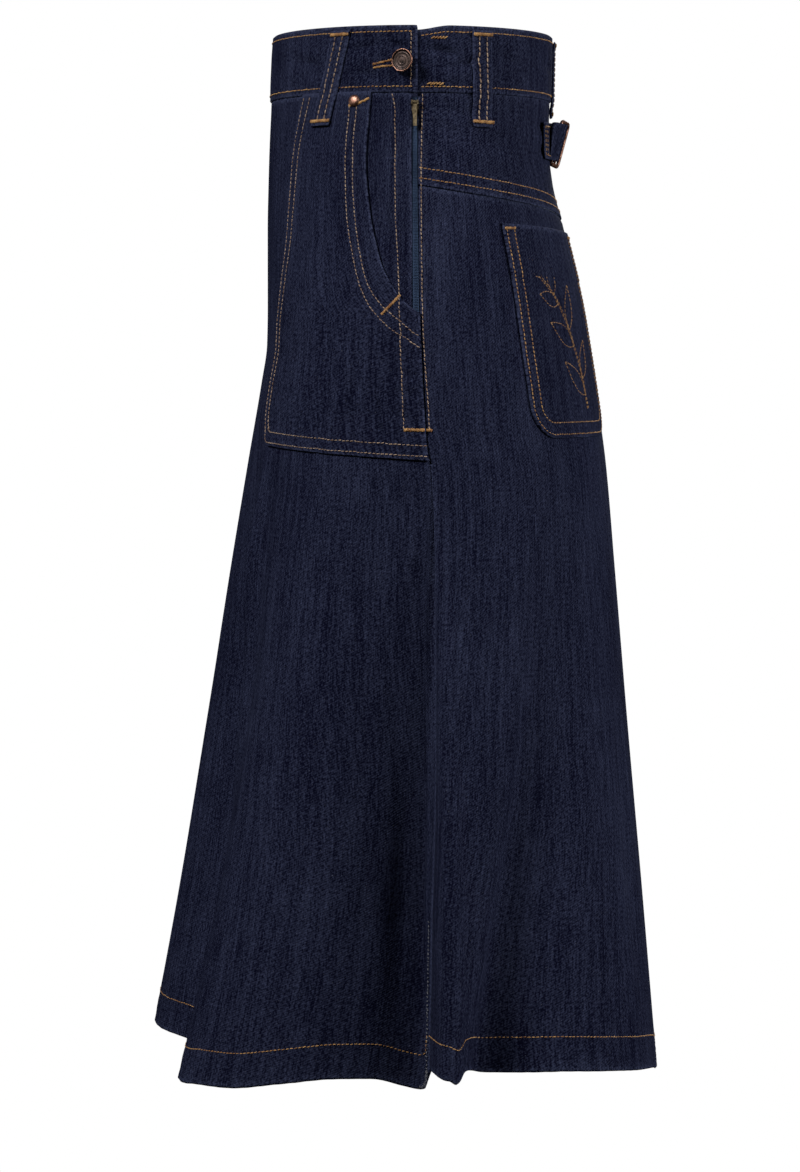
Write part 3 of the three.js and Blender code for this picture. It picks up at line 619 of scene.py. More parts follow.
def near_values(start, end, count, extra):
    """Even values with extra ones where more detail is needed."""
    return np.unique(np.concatenate([np.linspace(start, end, count), extra]))


def seam_roll(u, width, drop, start=50):
    """The cloth's edge rolls in where it is sewn."""
    away = np.minimum(u, 1 - u) * width
    return -1.1 * np.exp(-((away / 1.3) ** 2)) * ease(start, start + 20, drop)


def panel_thick(angle, drop):
    above_hem = hem_drop(angle) - drop
    return DENIM * (1 + ease(HEM_DEPTH + 1.0, HEM_DEPTH, above_hem))


FRONT_EDGE = 93.9
PANEL_STEPS = 210
HEM_ROWS = 1 - np.array([1.0, 2.5, 5, 9, 14, 18, 20.5, 21.5, 22.3, 23.2, 25]) / 650


def make_front_panel():
    u = with_edges(spread(PANEL_STEPS, -FRONT_EDGE, FRONT_EDGE), 480)
    row = near_values(0, 1, 165, HEM_ROWS)

    def place(u_grid, row_grid):
        angle = mix(-FRONT_EDGE, FRONT_EDGE, u_grid)
        for _ in range(3):
            drop = mix(BAND_HEIGHT + GAP, hem_drop(angle), row_grid)
            start = -side_seam(drop) + half_gap(-90.0, drop)
            angle = mix(start, opening_edge(drop), u_grid)
        return angle, drop

    def out(angle, drop, u_grid, row_grid):
        return seam_roll(u_grid, 7.5 * degree_length(drop) * 25, drop)

    cloth("front_panel", u, row, place, out, panel_thick)


def back_angle(u, drop):
    seam = side_seam(drop)
    inset = half_gap(seam, drop)
    return mix(seam + inset, 360 - seam - inset, u)


def make_back_panel():
    u = with_edges(spread(PANEL_STEPS, 94.1, 265.9), 440)
    row = near_values(0, 1, 150, HEM_ROWS)

    def place(u_grid, row_grid):
        angle = back_angle(u_grid, 300.0)
        for _ in range(3):
            drop = mix(yoke_drop(angle) + GAP, hem_drop(angle), row_grid)
            angle = back_angle(u_grid, drop)
        return angle, drop

    def out(angle, drop, u_grid, row_grid):
        top = drop - yoke_drop(angle)
        return seam_roll(u_grid, 170 * degree_length(drop), drop) - 0.8 * np.exp(-((top / 1.2) ** 2))

    cloth("back_panel", u, row, place, out, panel_thick, True)


def make_back_yoke():
    u = with_edges(np.linspace(0, 1, 130), 300)
    row = near_values(0, 1, 34, [0.01, 0.025, 0.975, 0.99])

    def place(u_grid, row_grid):
        angle = back_angle(u_grid, 80.0)
        for _ in range(3):
            drop = mix(BAND_HEIGHT + GAP, yoke_drop(angle), row_grid)
            angle = back_angle(u_grid, drop)
        return angle, drop

    def out(angle, drop, u_grid, row_grid):
        bottom = yoke_drop(angle) - drop
        return seam_roll(u_grid, 170 * degree_length(drop), drop) + 0.5 * np.exp(-((bottom / 6) ** 2))

    cloth("back_yoke", u, row, place, out, DENIM, True)


LOWER_END = 3


def band_lowering(angle):
    return LOWER_END * (1 - ease(side_seam(0.0) - 1, side_seam(0.0) + TUCK_ANGLE, angle))


def band_place(u, row):
    angle = mix(BAND_UNDER_END, 360 + BAND_OVER_END, u)
    return angle, row * BAND_HEIGHT + band_lowering(angle) * (1 - row)


def band_out(row):
    """The band is padded between its two rows of sewing."""
    bulge = 0.45 * (1 - (np.abs(row - 0.5) * 2.25) ** 4)
    return BAND_THICK / 2 - 0.25 + np.where(np.abs(row - 0.5) < 0.44, np.maximum(bulge, 0), 0)


def make_waistband():
    u = with_edges(np.linspace(0, 1, 330), 720)
    row = near_values(0, 1, 23, [0.02, 0.05, 0.95, 0.98])
    cloth(
        "waistband",
        u,
        row,
        band_place,
        lambda angle, drop, u_grid, row_grid: band_out(row_grid),
        BAND_THICK - 0.2,
        True,
    )
    piece = bpy.data.objects["waistband_cloth"]
    piece.data.materials[1] = DENIM_FACE
    return piece


def corner_inset(radius, above):
    return np.where(above >= radius, 0, radius - np.sqrt(np.maximum(0, radius**2 - (radius - above) ** 2)))


def patch_drop(row, u):
    return row + PATCH_SLANT * u * ease(PATCH_OPENING_END, PATCH_BOTTOM, row)


def patch_angles(row, drop):
    corner = degrees(corner_inset(PATCH_CORNER, PATCH_BOTTOM - row), 30.0, row)
    front = read(PATCH_FRONT, "drop", "angle", row) + corner
    seam = side_seam(drop) - degrees(0.8, 90.0, drop)
    back = np.where(row < PATCH_OPENING_END, read(PATCH_BACK, "drop", "angle", row), seam)
    return front, np.minimum(back, seam)


def make_front_pocket(name, side):
    u = with_edges(np.linspace(0, 1, 56), 130)
    corner = PATCH_BOTTOM - np.array([0, 0.3, 0.8, 1.6, 2.8, 4.4, 6.4, 9])
    bend = np.array([150, 156, 161, 165, 169, 173, 177, 181, 184, 186.5, 188.5, 190, 191.5, 193.4, 193.6])
    row = near_values(BAND_HEIGHT + GAP, PATCH_BOTTOM, 96, np.concatenate([corner, bend]))

    def place(u_grid, row_grid):
        drop = patch_drop(row_grid, u_grid)
        front, back = patch_angles(row_grid, drop)
        return side * mix(front, back, u_grid), drop

    def out(angle, drop, u_grid, row_grid):
        near_edge = np.exp(-(((1 - u_grid) * 95 / 6) ** 2))
        open_edge = near_edge * (1 - ease(165, 193, row_grid)) * ease(55, 90, row_grid)
        pucker = 0.3 * rope(drop - PATCH_BOTTOM - 2, turn_from(angle, 0) * 3, 9, 10, 0.5)
        return PATCH_OUT + 1.1 * open_edge + pucker

    cloth(name, u, row, place, out, 1.75)


def back_pocket_drop(row, u):
    t = (row - BACK_POCKET_TOP) / (BACK_POCKET_BOTTOM - BACK_POCKET_TOP)
    return row + BACK_POCKET_TILT * u * (1 - t)


def back_pocket_angle(row, u, inset=0.0, corner_radius=BACK_POCKET_CORNER):
    t = (row - BACK_POCKET_TOP) / (BACK_POCKET_BOTTOM - BACK_POCKET_TOP)
    inward = degrees(corner_inset(corner_radius, BACK_POCKET_BOTTOM - row) + inset, 147.0, row)
    start = mix(BACK_POCKET["side_top"], BACK_POCKET["side_low"], t) + inward
    end = mix(BACK_POCKET["middle_top"], BACK_POCKET["middle_low"], t) - inward
    return mix(start, end, u)


def mirrored(angle, side):
    return angle if side > 0 else 360 - angle


def make_back_pocket(name, side):
    u = with_edges(np.linspace(0, 1, 52), 120)
    corner = BACK_POCKET_BOTTOM - np.array([0, 0.4, 1.2, 2.4, 4.2, 6.5, 9.5, 13, 17, 21])
    crease = BACK_POCKET_TOP + np.array([33, 34.2, 35, 35.8, 37])
    row = near_values(BACK_POCKET_TOP, BACK_POCKET_BOTTOM, 52, np.concatenate([corner, crease]))

    def place(u_grid, row_grid):
        return mirrored(back_pocket_angle(row_grid, u_grid), side), back_pocket_drop(row_grid, u_grid)

    def out(angle, drop, u_grid, row_grid):
        folded = 0.5 * (1 - ease(34.4, 35.6, row_grid - BACK_POCKET_TOP))
        mouth = 0.8 * np.exp(-((row_grid - BACK_POCKET_TOP) / 7) ** 2) * np.sin(math.pi * u_grid)
        pucker = 0.22 * rope((0.5 - np.abs(u_grid - 0.5)) * 115 - 4, drop, 6, 9, 0.5)
        return PATCH_OUT + folded + mouth + pucker

    cloth(name, u, row, place, out, 1.75)


def loop_place(i, u, row):
    top = float(LOOPS["top"][i])
    bottom = float(LOOPS["bottom"][i])
    end = float(LOOPS["end"][i])
    half = degrees(LOOP_WIDTH / 2, mix(top, bottom, 0.5), 30.0)
    angle = mix(top, bottom, row) + mix(-half, half, u)
    return angle, mix(LOOP_TOP, end, row)


def loop_out(i, row, u=0.5):
    drop = mix(LOOP_TOP, float(LOOPS["end"][i]), row)
    over_band = BAND_THICK / 2
    seated = float(LOOPS["on"][i]) + 0.3
    under = mix(over_band, seated, ease(BAND_HEIGHT - 1, BAND_HEIGHT + 9, drop))
    ends = 0.5 * np.exp(-((row / 0.07) ** 2)) + 0.5 * np.exp(-(((1 - row) / 0.06) ** 2))
    crown = 0.35 * (1 - (2 * np.asarray(u) - 1) ** 2)
    return under + LOOP_THICK + 0.2 * np.sin(math.pi * row) + ends + crown


def make_belt_loop(i):
    u = np.array([0, 0.04, 0.12, 0.25, 0.4, 0.5, 0.6, 0.75, 0.88, 0.96, 1])
    row = near_values(0, 1, 34, [0.015, 0.985])
    tucked = 90 < float(LOOPS["top"][i]) < 270
    name = str(LOOPS["name"][i])

    def place(u_grid, row_grid):
        return loop_place(i, u_grid, row_grid)

    def out(angle, drop, u_grid, row_grid):
        return loop_out(i, row_grid, u_grid)

    cloth(name, u, row, place, out, LOOP_THICK, tucked, 1.0)


# Cinch strap and its buckle, at the back centre

CINCH_DROP = 73
STRAP_HEIGHT = 25
STRAP_THICK = 1.3
STRAP_TILT = 15
LYING = 0.35 + STRAP_THICK / 2
BUCKLE_OUT = 5.0
BUCKLE = {"width": 24, "height": 34, "wire": 3, "bar": 2, "thick": 2.4, "corner": 5, "swing": 16}
BUCKLE_X = (BUCKLE["width"] - BUCKLE["wire"]) / 2


def cloth_y(x, drop):
    angle = 180 - x / 1.8
    for _ in range(8):
        angle = angle + (bare(angle, drop, True, False)[..., 0] - x) / 1.8
    return bare(angle, drop, True, False)[..., 1]


def catmull(points, count):
    """Points along a smooth curve through given ones."""
    points = np.asarray(points, float)
    ends = np.concatenate([[2 * points[0] - points[1]], points, [2 * points[-1] - points[-2]]])
    t = np.linspace(0, len(points) - 1 - 1e-9, count)
    i = t.astype(int)
    f = (t - i)[:, None]
    p0, p1, p2, p3 = (ends[i + k] for k in range(4))
    square = (2 * p0 - 5 * p1 + 4 * p2 - p3) * f**2
    cube = (3 * p1 - p0 - 3 * p2 + p3) * f**3
    return 0.5 * (2 * p1 + (p2 - p0) * f + square + cube)


def strap_point(x, off, z):
    leaning = cloth_y(x, CINCH_DROP) + z * math.tan(math.radians(STRAP_TILT))
    base = mix(cloth_y(x, CINCH_DROP - z), leaning, ease(1.4, 6, off))
    return np.stack([x, base + off, BAND_HEIGHT / 2 - CINCH_DROP + z], -1)


def strap_path(side):
    if side > 0:
        radius = 2.7
        turn = [
            (BUCKLE_X + radius * math.cos(math.radians(a)), BUCKLE_OUT + radius * math.sin(math.radians(a)))
            for a in (-100, -135, 180, 135, 90, 60)
        ]
        there = [(45, LYING), (37, LYING), (29, LYING), (21.5, LYING + 0.2), (15.5, 1.7)]
        return there + turn + [(17, BUCKLE_OUT + 1.2), (21.5, 4.9), (26, 3.1)]
    clear = BUCKLE["thick"] / 2 + STRAP_THICK / 2 + 0.4
    there = [(-45, LYING), (-37, LYING), (-29, LYING), (-22.5, 2.8), (-17, BUCKLE_OUT - 0.6)]
    under = [(-12.5, BUCKLE_OUT + 1.6), (-9.6, BUCKLE_OUT + 2.3)]
    over = [(-5, BUCKLE_OUT + 3.2), (-0.9, BUCKLE_OUT + clear + 2.3), (1.6, BUCKLE_OUT + clear + 2.2)]
    return there + under + over + [(4.6, BUCKLE_OUT + clear + 1.2)]


def strap_grid(side, level, z):
    """Points on a strap: level 1 is its outer face and -1 its inner one, z a height from its middle."""
    line = catmull(strap_path(side), 90)
    along = unit(np.gradient(line, axis=0))
    x = line[:, 0] + along[:, 1] * level * STRAP_THICK / 2
    off = line[:, 1] - along[:, 0] * level * STRAP_THICK / 2
    return strap_point(x, off, np.full_like(x, z))


def make_cinch_tab(name, side):
    heights = STRAP_HEIGHT / 2 * np.array([1, 0.94, 0.8, 0.6, 0.3, 0, -0.3, -0.6, -0.8, -0.94, -1])
    outer = np.stack([strap_grid(side, 1, z) for z in heights])
    inner = np.stack([strap_grid(side, -1, z) for z in heights])
    across = lengths(outer, 1)
    uv = np.stack([across, np.repeat(heights[:, None], outer.shape[1], 1)], -1)
    piece = cloth_wall(name + "_cloth", outer, inner, uv, edge_wear(outer, 1.0), (DENIM_FACE, DENIM_FACE))
    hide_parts(name)


# Sewing


# Rings along one stitch: where each stands, how large it is and how far it sinks
STATIONS = ((-0.5, 0.3, -0.5), (-0.36, 0.85, -0.05), (0.0, 1.0, 0.0), (0.36, 0.85, -0.05), (0.5, 0.3, -0.5))


def tube_faces(rings, n, closed=True):
    """Faces between rings of n points, the last ring joined to the first if closed."""
    return [
        (r * n + k, (r + 1) % rings * n + k, (r + 1) % rings * n + (k + 1) % n, r * n + (k + 1) % n)
        for r in range(rings if closed else rings - 1)
        for k in range(n)
    ]


def stitch_shape():
    """One stitch a unit long, wide and high: rings along it, each an arch."""
    arch = np.radians([-25, 30, 90, 150, 205])
    points = []
    for x, size, sink in STATIONS:
        for a in arch:
            points.append((x, 0.5 * math.cos(a) * size, math.sin(a) * size + sink))
    n = len(arch)
    last = (len(STATIONS) - 1) * n
    ends = [tuple(range(n)), tuple(range(last, last + n))[::-1]]
    return np.array(points), tube_faces(len(STATIONS), n, False), ends


class Sewing:
    """Collects stitches of one thread and makes them one mesh."""

    def __init__(self):
        self.places = []

    def add(self, centre, along, normal, length, width, height):
        self.places.append((centre, along, normal, length, width, height))

    def make(self, name, material):
        shape, quads, ends = stitch_shape()
        centre, along, normal = (np.concatenate([p[k] for p in self.places]) for k in range(3))
        size = np.concatenate([np.stack([p[3], p[4], p[5]], -1) for p in self.places])
        across = unit(np.cross(normal, along))
        local = shape[None] * size[:, None]
        points = centre[:, None] + local[..., :1] * along[:, None] + local[..., 1:2] * across[:, None]
        points = points + local[..., 2:] * normal[:, None]
        count = len(centre)
        offset = np.arange(count)[:, None, None] * len(shape)
        faces = (np.array(quads)[None] + offset).reshape(-1, 4).tolist()
        faces += (np.array(ends)[None] + offset).reshape(-1, len(ends[0])).tolist()
        return plain_mesh(name, points.reshape(-1, 3), faces, material)


GOLD = Sewing()
CREAM = Sewing()
FRAY = Sewing()
ZIP_COIL = Sewing()
PITCH = 2.9
STITCH = (2.35, 0.78, 0.42)
RANDOM = np.random.default_rng(7)


def run(thread_kind, points, normals, pitch=PITCH, size=STITCH, skew=6.0, jitter=0.08):
    """A row of stitches along 3-D points."""
    length = lengths(points)
    count = max(2, int(length[-1] / pitch))
    at = (np.arange(count) + 0.5) * length[-1] / count
    centre = np.stack([np.interp(at, length, points[:, k]) for k in range(3)], -1)
    ahead = np.stack([np.interp(at + 0.6, length, points[:, k]) for k in range(3)], -1)
    behind = np.stack([np.interp(at - 0.6, length, points[:, k]) for k in range(3)], -1)
    normal = unit(np.stack([np.interp(at, length, normals[:, k]) for k in range(3)], -1))
    along = unit(ahead - behind)
    side = unit(np.cross(normal, along))
    lean = np.radians(skew + RANDOM.normal(0, 3, count))[:, None]
    along = unit(along * np.cos(lean) + side * np.sin(lean))
    centre = centre + side * RANDOM.normal(0, jitter, count)[:, None]
    vary = 1 + RANDOM.normal(0, 0.07, count)
    thread_kind.add(centre, along, normal, size[0] * vary, size[1] * vary, np.full(count, size[2]))


def on_cloth(angle, drop, out, tucked=False):
    angle = np.asarray(angle, float)
    drop = np.broadcast_to(np.asarray(drop, float), angle.shape)
    return skin(angle, drop, out, tucked), axes(angle, drop, tucked)[2]


def sew(thread_kind, angle, drop, out, tucked=False, **options):
    points, normals = on_cloth(angle, drop, out, tucked)
    run(thread_kind, points, normals, **options)


def bar_tack(thread_kind, start, end, out, tucked=False, width=2.3):
    """A dense bar of crosswise stitches from one (angle, drop) to another."""
    t = np.linspace(0, 1, 40)
    angle = mix(start[0], end[0], t)
    drop = mix(start[1], end[1], t)
    points, normals = on_cloth(angle, drop, out, tucked)
    raised = points + normals * 0.25
    run(thread_kind, raised, normals, pitch=0.62, size=(width, 0.72, 0.5), skew=82, jitter=0.1)
    run(thread_kind, points, normals, pitch=2.4, size=(2.5, 1.5, 0.5), skew=0, jitter=0.2)


def sew_waistband():
    u = np.linspace(0, 1, 1500)
    for row in (3.4 / 44, 1 - 3.4 / 44):
        angle, drop = band_place(u, row)
        shown = (angle > side_seam(0.0) + 0.6) & (angle < 360 + BAND_OVER_END - 1.5)
        sew(GOLD, angle[shown], drop[shown], band_out(row) + 0.12, True, size=(2.3, 0.82, 0.45))
    drop = np.linspace(4, 40, 60)
    end = 360 + BAND_OVER_END - degrees(3.4, 90.0, 20.0)
    sew(CREAM, np.full(60, end), drop, BAND_THICK / 2 + 0.2, True)
    for start, drop in ((97.5, 7.4), (96, 38.6)):
        angle = np.linspace(start, start + 6, 30)
        out = BAND_THICK / 2 + 0.45
        sew(GOLD, angle, np.full(30, drop), out, True, pitch=1.9, size=(3.2, 1.0, 0.5), skew=28)


def sew_belt_loops():
    for i in range(len(LOOPS["name"])):
        row = np.linspace(0.05, 0.94, 80)
        tucked = 90 < float(LOOPS["top"][i]) < 270
        for offset in (-3, 3):
            u = 0.5 + offset / LOOP_WIDTH
            angle, drop = loop_place(i, u, row)
            out = loop_out(i, row, u) + 0.1
            sew(CREAM, angle, drop, out, tucked, pitch=3.6, size=(3.0, 0.95, 0.5), skew=4)
        for place, reach in ((0.035, 0.5), (0.955, 0.56)):
            left_angle, drop = loop_place(i, 0.5 - reach, place)
            right_angle, _ = loop_place(i, 0.5 + reach, place)
            ends = ((float(left_angle), float(drop)), (float(right_angle), float(drop)))
            bar_tack(GOLD, ends[0], ends[1], loop_out(i, place) + 0.1, tucked, 2.4)


def patch_row(inset, side):
    """Angles and drops of a row of sewing inside the front patch, from its top down and along its bottom."""
    row = np.linspace(BAND_HEIGHT + 2, PATCH_BOTTOM - PATCH_CORNER, 200)
    front = read(PATCH_FRONT, "drop", "angle", row) + degrees(inset, 34.0, row)
    radius = max(PATCH_CORNER - inset, 4)
    turn = np.radians(np.linspace(180, 270, 14)[1:])
    bottom = PATCH_BOTTOM - inset
    start = front[-1]
    row[-1] = bottom - radius
    corner_angle = start + degrees(radius * (1 + np.cos(turn)), 34.0, 285.0)
    corner_drop = bottom - radius - radius * np.sin(turn)
    u = np.linspace(0, 1, 120)[1:]
    end = float(side_seam(291.0)) - 0.5
    along_angle = mix(corner_angle[-1], end, u)
    fraction = (along_angle - float(start)) / (end - float(start))
    along_drop = bottom + PATCH_SLANT * fraction
    corner_drop = corner_drop + PATCH_SLANT * (corner_angle - float(start)) / (end - float(start))
    angle = np.concatenate([front, corner_angle, along_angle])
    drop = np.concatenate([row, corner_drop, along_drop])
    return side * angle, drop


# Two rows of sewing round the front pocket's opening, from the band to the side seam
OPENING_OUTER = columns(
    ["drop", "angle"],
    [53, 65.1], [88, 63.8], [111, 64.1], [134, 65.2], [155, 67.3], [174, 69.8], [187, 72.9], [194, 75.6],
    [203, 80.3], [210, 85.4], [217.5, 91.9],
)
OPENING_INNER = columns(
    ["drop", "angle"],
    [54, 68.1], [84, 66.8], [104, 66.9], [120, 67.5], [150, 69.7], [174, 72.9], [189, 78.2], [200, 85.0],
    [206, 88.9], [210, 91.7],
)


def opening_row(table, side):
    drop = np.linspace(table["drop"][0], table["drop"][-1], 260)
    return side * read(table, "drop", "angle", drop), drop


def sew_front_pocket(side):
    out = PATCH_OUT + 0.1
    for inset in (2.4, 9.4):
        angle, drop = patch_row(inset, side)
        sew(CREAM, angle, drop, out)
    for table in (OPENING_OUTER, OPENING_INNER):
        angle, drop = opening_row(table, side)
        sew(CREAM, angle, drop, out)
    bar_tack(GOLD, (side * 85.2, 182.5), (side * 78.3, 195.6), out, width=1.9)
    for start, end in (((64.7, 53.5), (69.0, 52.2)), ((69.0, 52.2), (73.0, 48.4))):
        bar_tack(GOLD, (side * start[0], start[1]), (side * end[0], end[1]), out, width=1.7)


TACK_DROP = 272.4

# Rows of sewing beside the left side seam: millimetres from the seam at each drop
FLY_ROW = columns(
    ["drop", "away"],
    [45, 18.3], [56, 16.4], [120, 16.3], [156, 14.5], [202, 13.1], [249, 13.1], [272.4, 13.4],
)
SEAM_ROW = columns(["drop", "away"], [45, 2.9], [95, 1.8], [150, 1.4], [215, 1.7], [260, 2.6], [272.4, 2.4])


def sew_opening():
    drop = np.linspace(BAND_HEIGHT + 1, TACK_DROP, 160)
    front = side_seam(drop) - degrees(read(FLY_ROW, "drop", "away", drop), 85.0, drop)
    behind_patch = drop < PATCH_OPENING_END - 10
    sew(CREAM, front[behind_patch], drop[behind_patch], 0.1)
    sew(CREAM, front[~behind_patch], drop[~behind_patch], PATCH_OUT + 0.1)
    back = side_seam(drop) + degrees(read(SEAM_ROW, "drop", "away", drop), 95.0, drop)
    sew(CREAM, back, drop, 0.1, True)
    seam = float(side_seam(TACK_DROP))
    bar_tack(GOLD, (86.8, TACK_DROP), (seam - 0.3, TACK_DROP), PATCH_OUT + 0.15)
    bar_tack(GOLD, (seam + 0.2, TACK_DROP), (95.3, TACK_DROP), 0.2)


def sew_yoke():
    u = np.linspace(0, 1, 700)
    angle = back_angle(u, 110.0)
    for offset, out in ((-11.6, 0.12), (-4.4, 0.42)):
        sew(GOLD, angle, yoke_drop(angle) + offset, out, True, size=(2.3, 0.72, 0.4))


def sew_back_pocket(side):
    for inset in (2.4, 10.4):
        radius = max(BACK_POCKET_CORNER - inset, 6)
        bottom = BACK_POCKET_BOTTOM - inset
        top = BACK_POCKET_TOP + 3
        row_down = np.linspace(top, bottom - radius, 120)
        arc = np.radians(np.linspace(180, 270, 30))
        left_angle = back_pocket_angle(row_down, 0.0, inset, 1)
        right_angle = back_pocket_angle(row_down, 1.0, inset, 1)
        left_arc = left_angle[-1] + degrees(radius * (1 + np.cos(arc)), 147.0, bottom)
        right_arc = right_angle[-1] - degrees(radius * (1 + np.cos(arc)), 147.0, bottom)
        arc_row = bottom - radius - radius * np.sin(arc)
        floor_angle = np.linspace(left_arc[-1], right_arc[-1], 60)[1:-1]
        angle = np.concatenate([left_angle, left_arc, floor_angle, right_arc[::-1], right_angle[::-1]])
        row = np.concatenate([row_down, arc_row, np.full(58, bottom), arc_row[::-1], row_down[::-1]])
        start = back_pocket_angle(row, 0.0)
        end = back_pocket_angle(row, 1.0)
        drop = back_pocket_drop(row, clamp01((angle - start) / (end - start)))
        folded = 0.5 * (1 - ease(34.4, 35.6, row - BACK_POCKET_TOP))
        sew(GOLD, mirrored(angle, side), drop, PATCH_OUT + 0.1 + folded, size=(2.2, 0.7, 0.4))
    for u in (0.0, 1.0):
        start = float(back_pocket_angle(137.0, u, 0.5, 1))
        end = float(back_pocket_angle(137.0, u, 12, 1))
        drop = float(back_pocket_drop(137.0, u))
        ends = ((mirrored(start, side), drop), (mirrored(end, side), drop))
        bar_tack(GOLD, ends[0], ends[1], PATCH_OUT + 0.7, width=1.9)
    sew_sprig(side)


# A plain leaf sprig on each back pocket, in millimetres from its foot: x to the back centre, y up
SPRIG_FOOT_ROW = 262
STEM = ((15, 2), (11, 30), (1, 58), (-13, 80), (-29, 95))
LEAVES = columns(
    ["foot", "lean", "length", "width"],
    [0.10, -44, 36, 13], [0.20, 40, 31, 12], [0.40, -42, 35, 13], [0.50, 44, 33, 12], [0.70, -38, 24, 10],
    [0.78, 44, 28, 11], [0.99, 4, 19, 9],
)
SPRIG_STITCH = (2.2, 0.66, 0.4)


def pocket_point(x, y, side):
    """A place on the back pocket from the sprig's foot, as angle and drop."""
    row = SPRIG_FOOT_ROW - np.asarray(y, float)
    angle = back_pocket_angle(row, 0.5, 0, 1) + degrees(x, 147.0, row)
    return mirrored(angle, side), back_pocket_drop(row, 0.5)


def sew_sprig(side):
    out = PATCH_OUT + 0.12
    line = catmull(STEM, 120)
    heading = unit(np.gradient(line, axis=0))
    across = np.stack([heading[:, 1], -heading[:, 0]], -1)
    for offset in (-0.9, 0.9):
        x, y = (line + across * offset).T
        angle, drop = pocket_point(x, y, side)
        sew(GOLD, angle, drop, out, size=SPRIG_STITCH)
    t = np.linspace(0, 1, 70)[:, None]
    for i in range(len(LEAVES["foot"])):
        leaf = {name: float(column[i]) for name, column in LEAVES.items()}
        at = int(leaf["foot"] * (len(line) - 1))
        lean = math.radians(leaf["lean"])
        ahead = heading[at] * math.cos(lean) + across[at] * math.sin(lean)
        beside = np.array([ahead[1], -ahead[0]])
        for bulge in (1, -1):
            away = bulge * leaf["width"] / 2 * np.sin(math.pi * t**0.8)
            x, y = (line[at] + ahead * leaf["length"] * t + beside * away).T
            angle, drop = pocket_point(x, y, side)
            sew(GOLD, angle, drop, out, size=SPRIG_STITCH)


def sew_hem():
    angle = np.linspace(-float(side_seam(690.0)) + 0.2, float(side_seam(690.0)) - 0.2, 1600)
    sew(GOLD, angle, hem_drop(angle) - HEM_DEPTH, 0.08, size=(2.3, 0.75, 0.4))
    angle = np.linspace(float(side_seam(690.0)) + 0.2, 360 - float(side_seam(690.0)) - 0.2, 1600)
    sew(GOLD, angle, hem_drop(angle) - HEM_DEPTH, 0.08, size=(2.3, 0.75, 0.4))


def fray_hem():
    """Loose pale ends along the front panel's edge, down to its hem."""
    drop = np.linspace(600, 708, 200)
    angle = side_seam(drop) - degrees(0.7, 93.0, drop)
    for pitch, lean in ((2.6, 70), (3.1, 105)):
        sew(FRAY, angle, drop, 0.15, pitch=pitch, size=(2.4, 0.34, 0.3), skew=lean, jitter=0.35)
    last = np.linspace(-6, -0.4, 30)
    angle = float(side_seam(706.0)) + degrees(last, 93.0, 700.0)
    sew(FRAY, angle, hem_drop(angle) - 0.6, 0.1, pitch=1.1, size=(2.6, 0.34, 0.3), skew=80, jitter=0.4)
    FRAY.make("frayed_hem", FRAYED)


def sew_cinch():
    for side in (1, -1):
        for z in (STRAP_HEIGHT / 2 - 2.4, -STRAP_HEIGHT / 2 + 2.4):
            line = strap_grid(side, 1, z)
            above = strap_grid(side, 1, z + 1)
            normals = unit(np.cross(unit(np.gradient(line, axis=0)), unit(above - line))) * side
            facing = normals if side < 0 else -normals
            outward = line - strap_grid(side, -1, z)
            sign = np.sign((facing * outward).sum(axis=-1))[:, None]
            run(GOLD, line[2:-2] + unit(outward)[2:-2] * 0.1, (facing * sign)[2:-2], size=(2.1, 0.66, 0.4))
        z = np.linspace(-STRAP_HEIGHT / 2 + 1.5, STRAP_HEIGHT / 2 - 1.5, 40)
        for x in (43, 36):
            points = strap_point(np.full(40, float(side * x)), np.full(40, LYING + STRAP_THICK / 2 + 0.1), z)
            normals = np.tile([side * 0.25, 1.0, 0.0], (40, 1))
            run(GOLD, points, unit(normals), size=(2.1, 0.66, 0.4))


def sew_buttonhole():
    """Thread round the keyhole, crosswise to its edge."""
    slope = math.atan(KEYHOLE["fall"] / KEYHOLE["length"])
    eye = KEYHOLE["radius"]
    turn = np.radians(np.linspace(140, -140, 40))
    start_x = eye * math.cos(turn[0])
    start_y = eye * math.sin(turn[0])
    t = np.linspace(0, 1, 40)
    slit_x = mix(-KEYHOLE["length"] - 0.5, start_x, t)
    slit_y = mix(1.15, start_y + 0.5, t**1.5)
    x = np.concatenate([slit_x, eye * np.cos(turn), slit_x[::-1]])
    y = np.concatenate([slit_y, (eye + 0.5) * np.sin(turn), -slit_y[::-1]])
    turned_x = x * math.cos(slope) - y * math.sin(slope)
    turned_y = x * math.sin(slope) + y * math.cos(slope)
    angle = BUTTON["angle"] + degrees(turned_x, 86.0, 23.0)
    drop = BUTTON["drop"] - turned_y
    out = BAND_THICK / 2 + 0.35
    sew(GOLD, angle, drop, out, pitch=0.6, size=(1.5, 0.7, 0.6), skew=84, jitter=0.1)


def make_zip_coil():
    """Closed teeth over the tape's rib."""
    drop = np.linspace(60, CHAIN_END - 1, 300)
    angle = side_seam(drop) - degrees(SLOT / 2, 92.0, drop)
    out = -(DENIM + 0.75 + TUCK * (1 - ease(60, 200, drop))) + 1.45
    points = skin(angle, drop, out, False, False)
    normals = axes(angle, drop, False, False)[2]
    run(ZIP_COIL, points, normals, pitch=1.1, size=(3.3, 0.62, 0.55), skew=90, jitter=0)
    ZIP_COIL.make("zip_teeth", ZIP_BLUE)


# Hardware

BUTTON = {"angle": 86, "drop": 23.5, "radius": 7.8, "thick": 2.2, "shank": 2.3, "lift": 5.8, "tilt": 22}
KEYHOLE = {"radius": 3.1, "length": 20, "fall": 3}
RIVET = {"angle": 67, "drop": 50.3, "radius": 4, "height": 1.7}


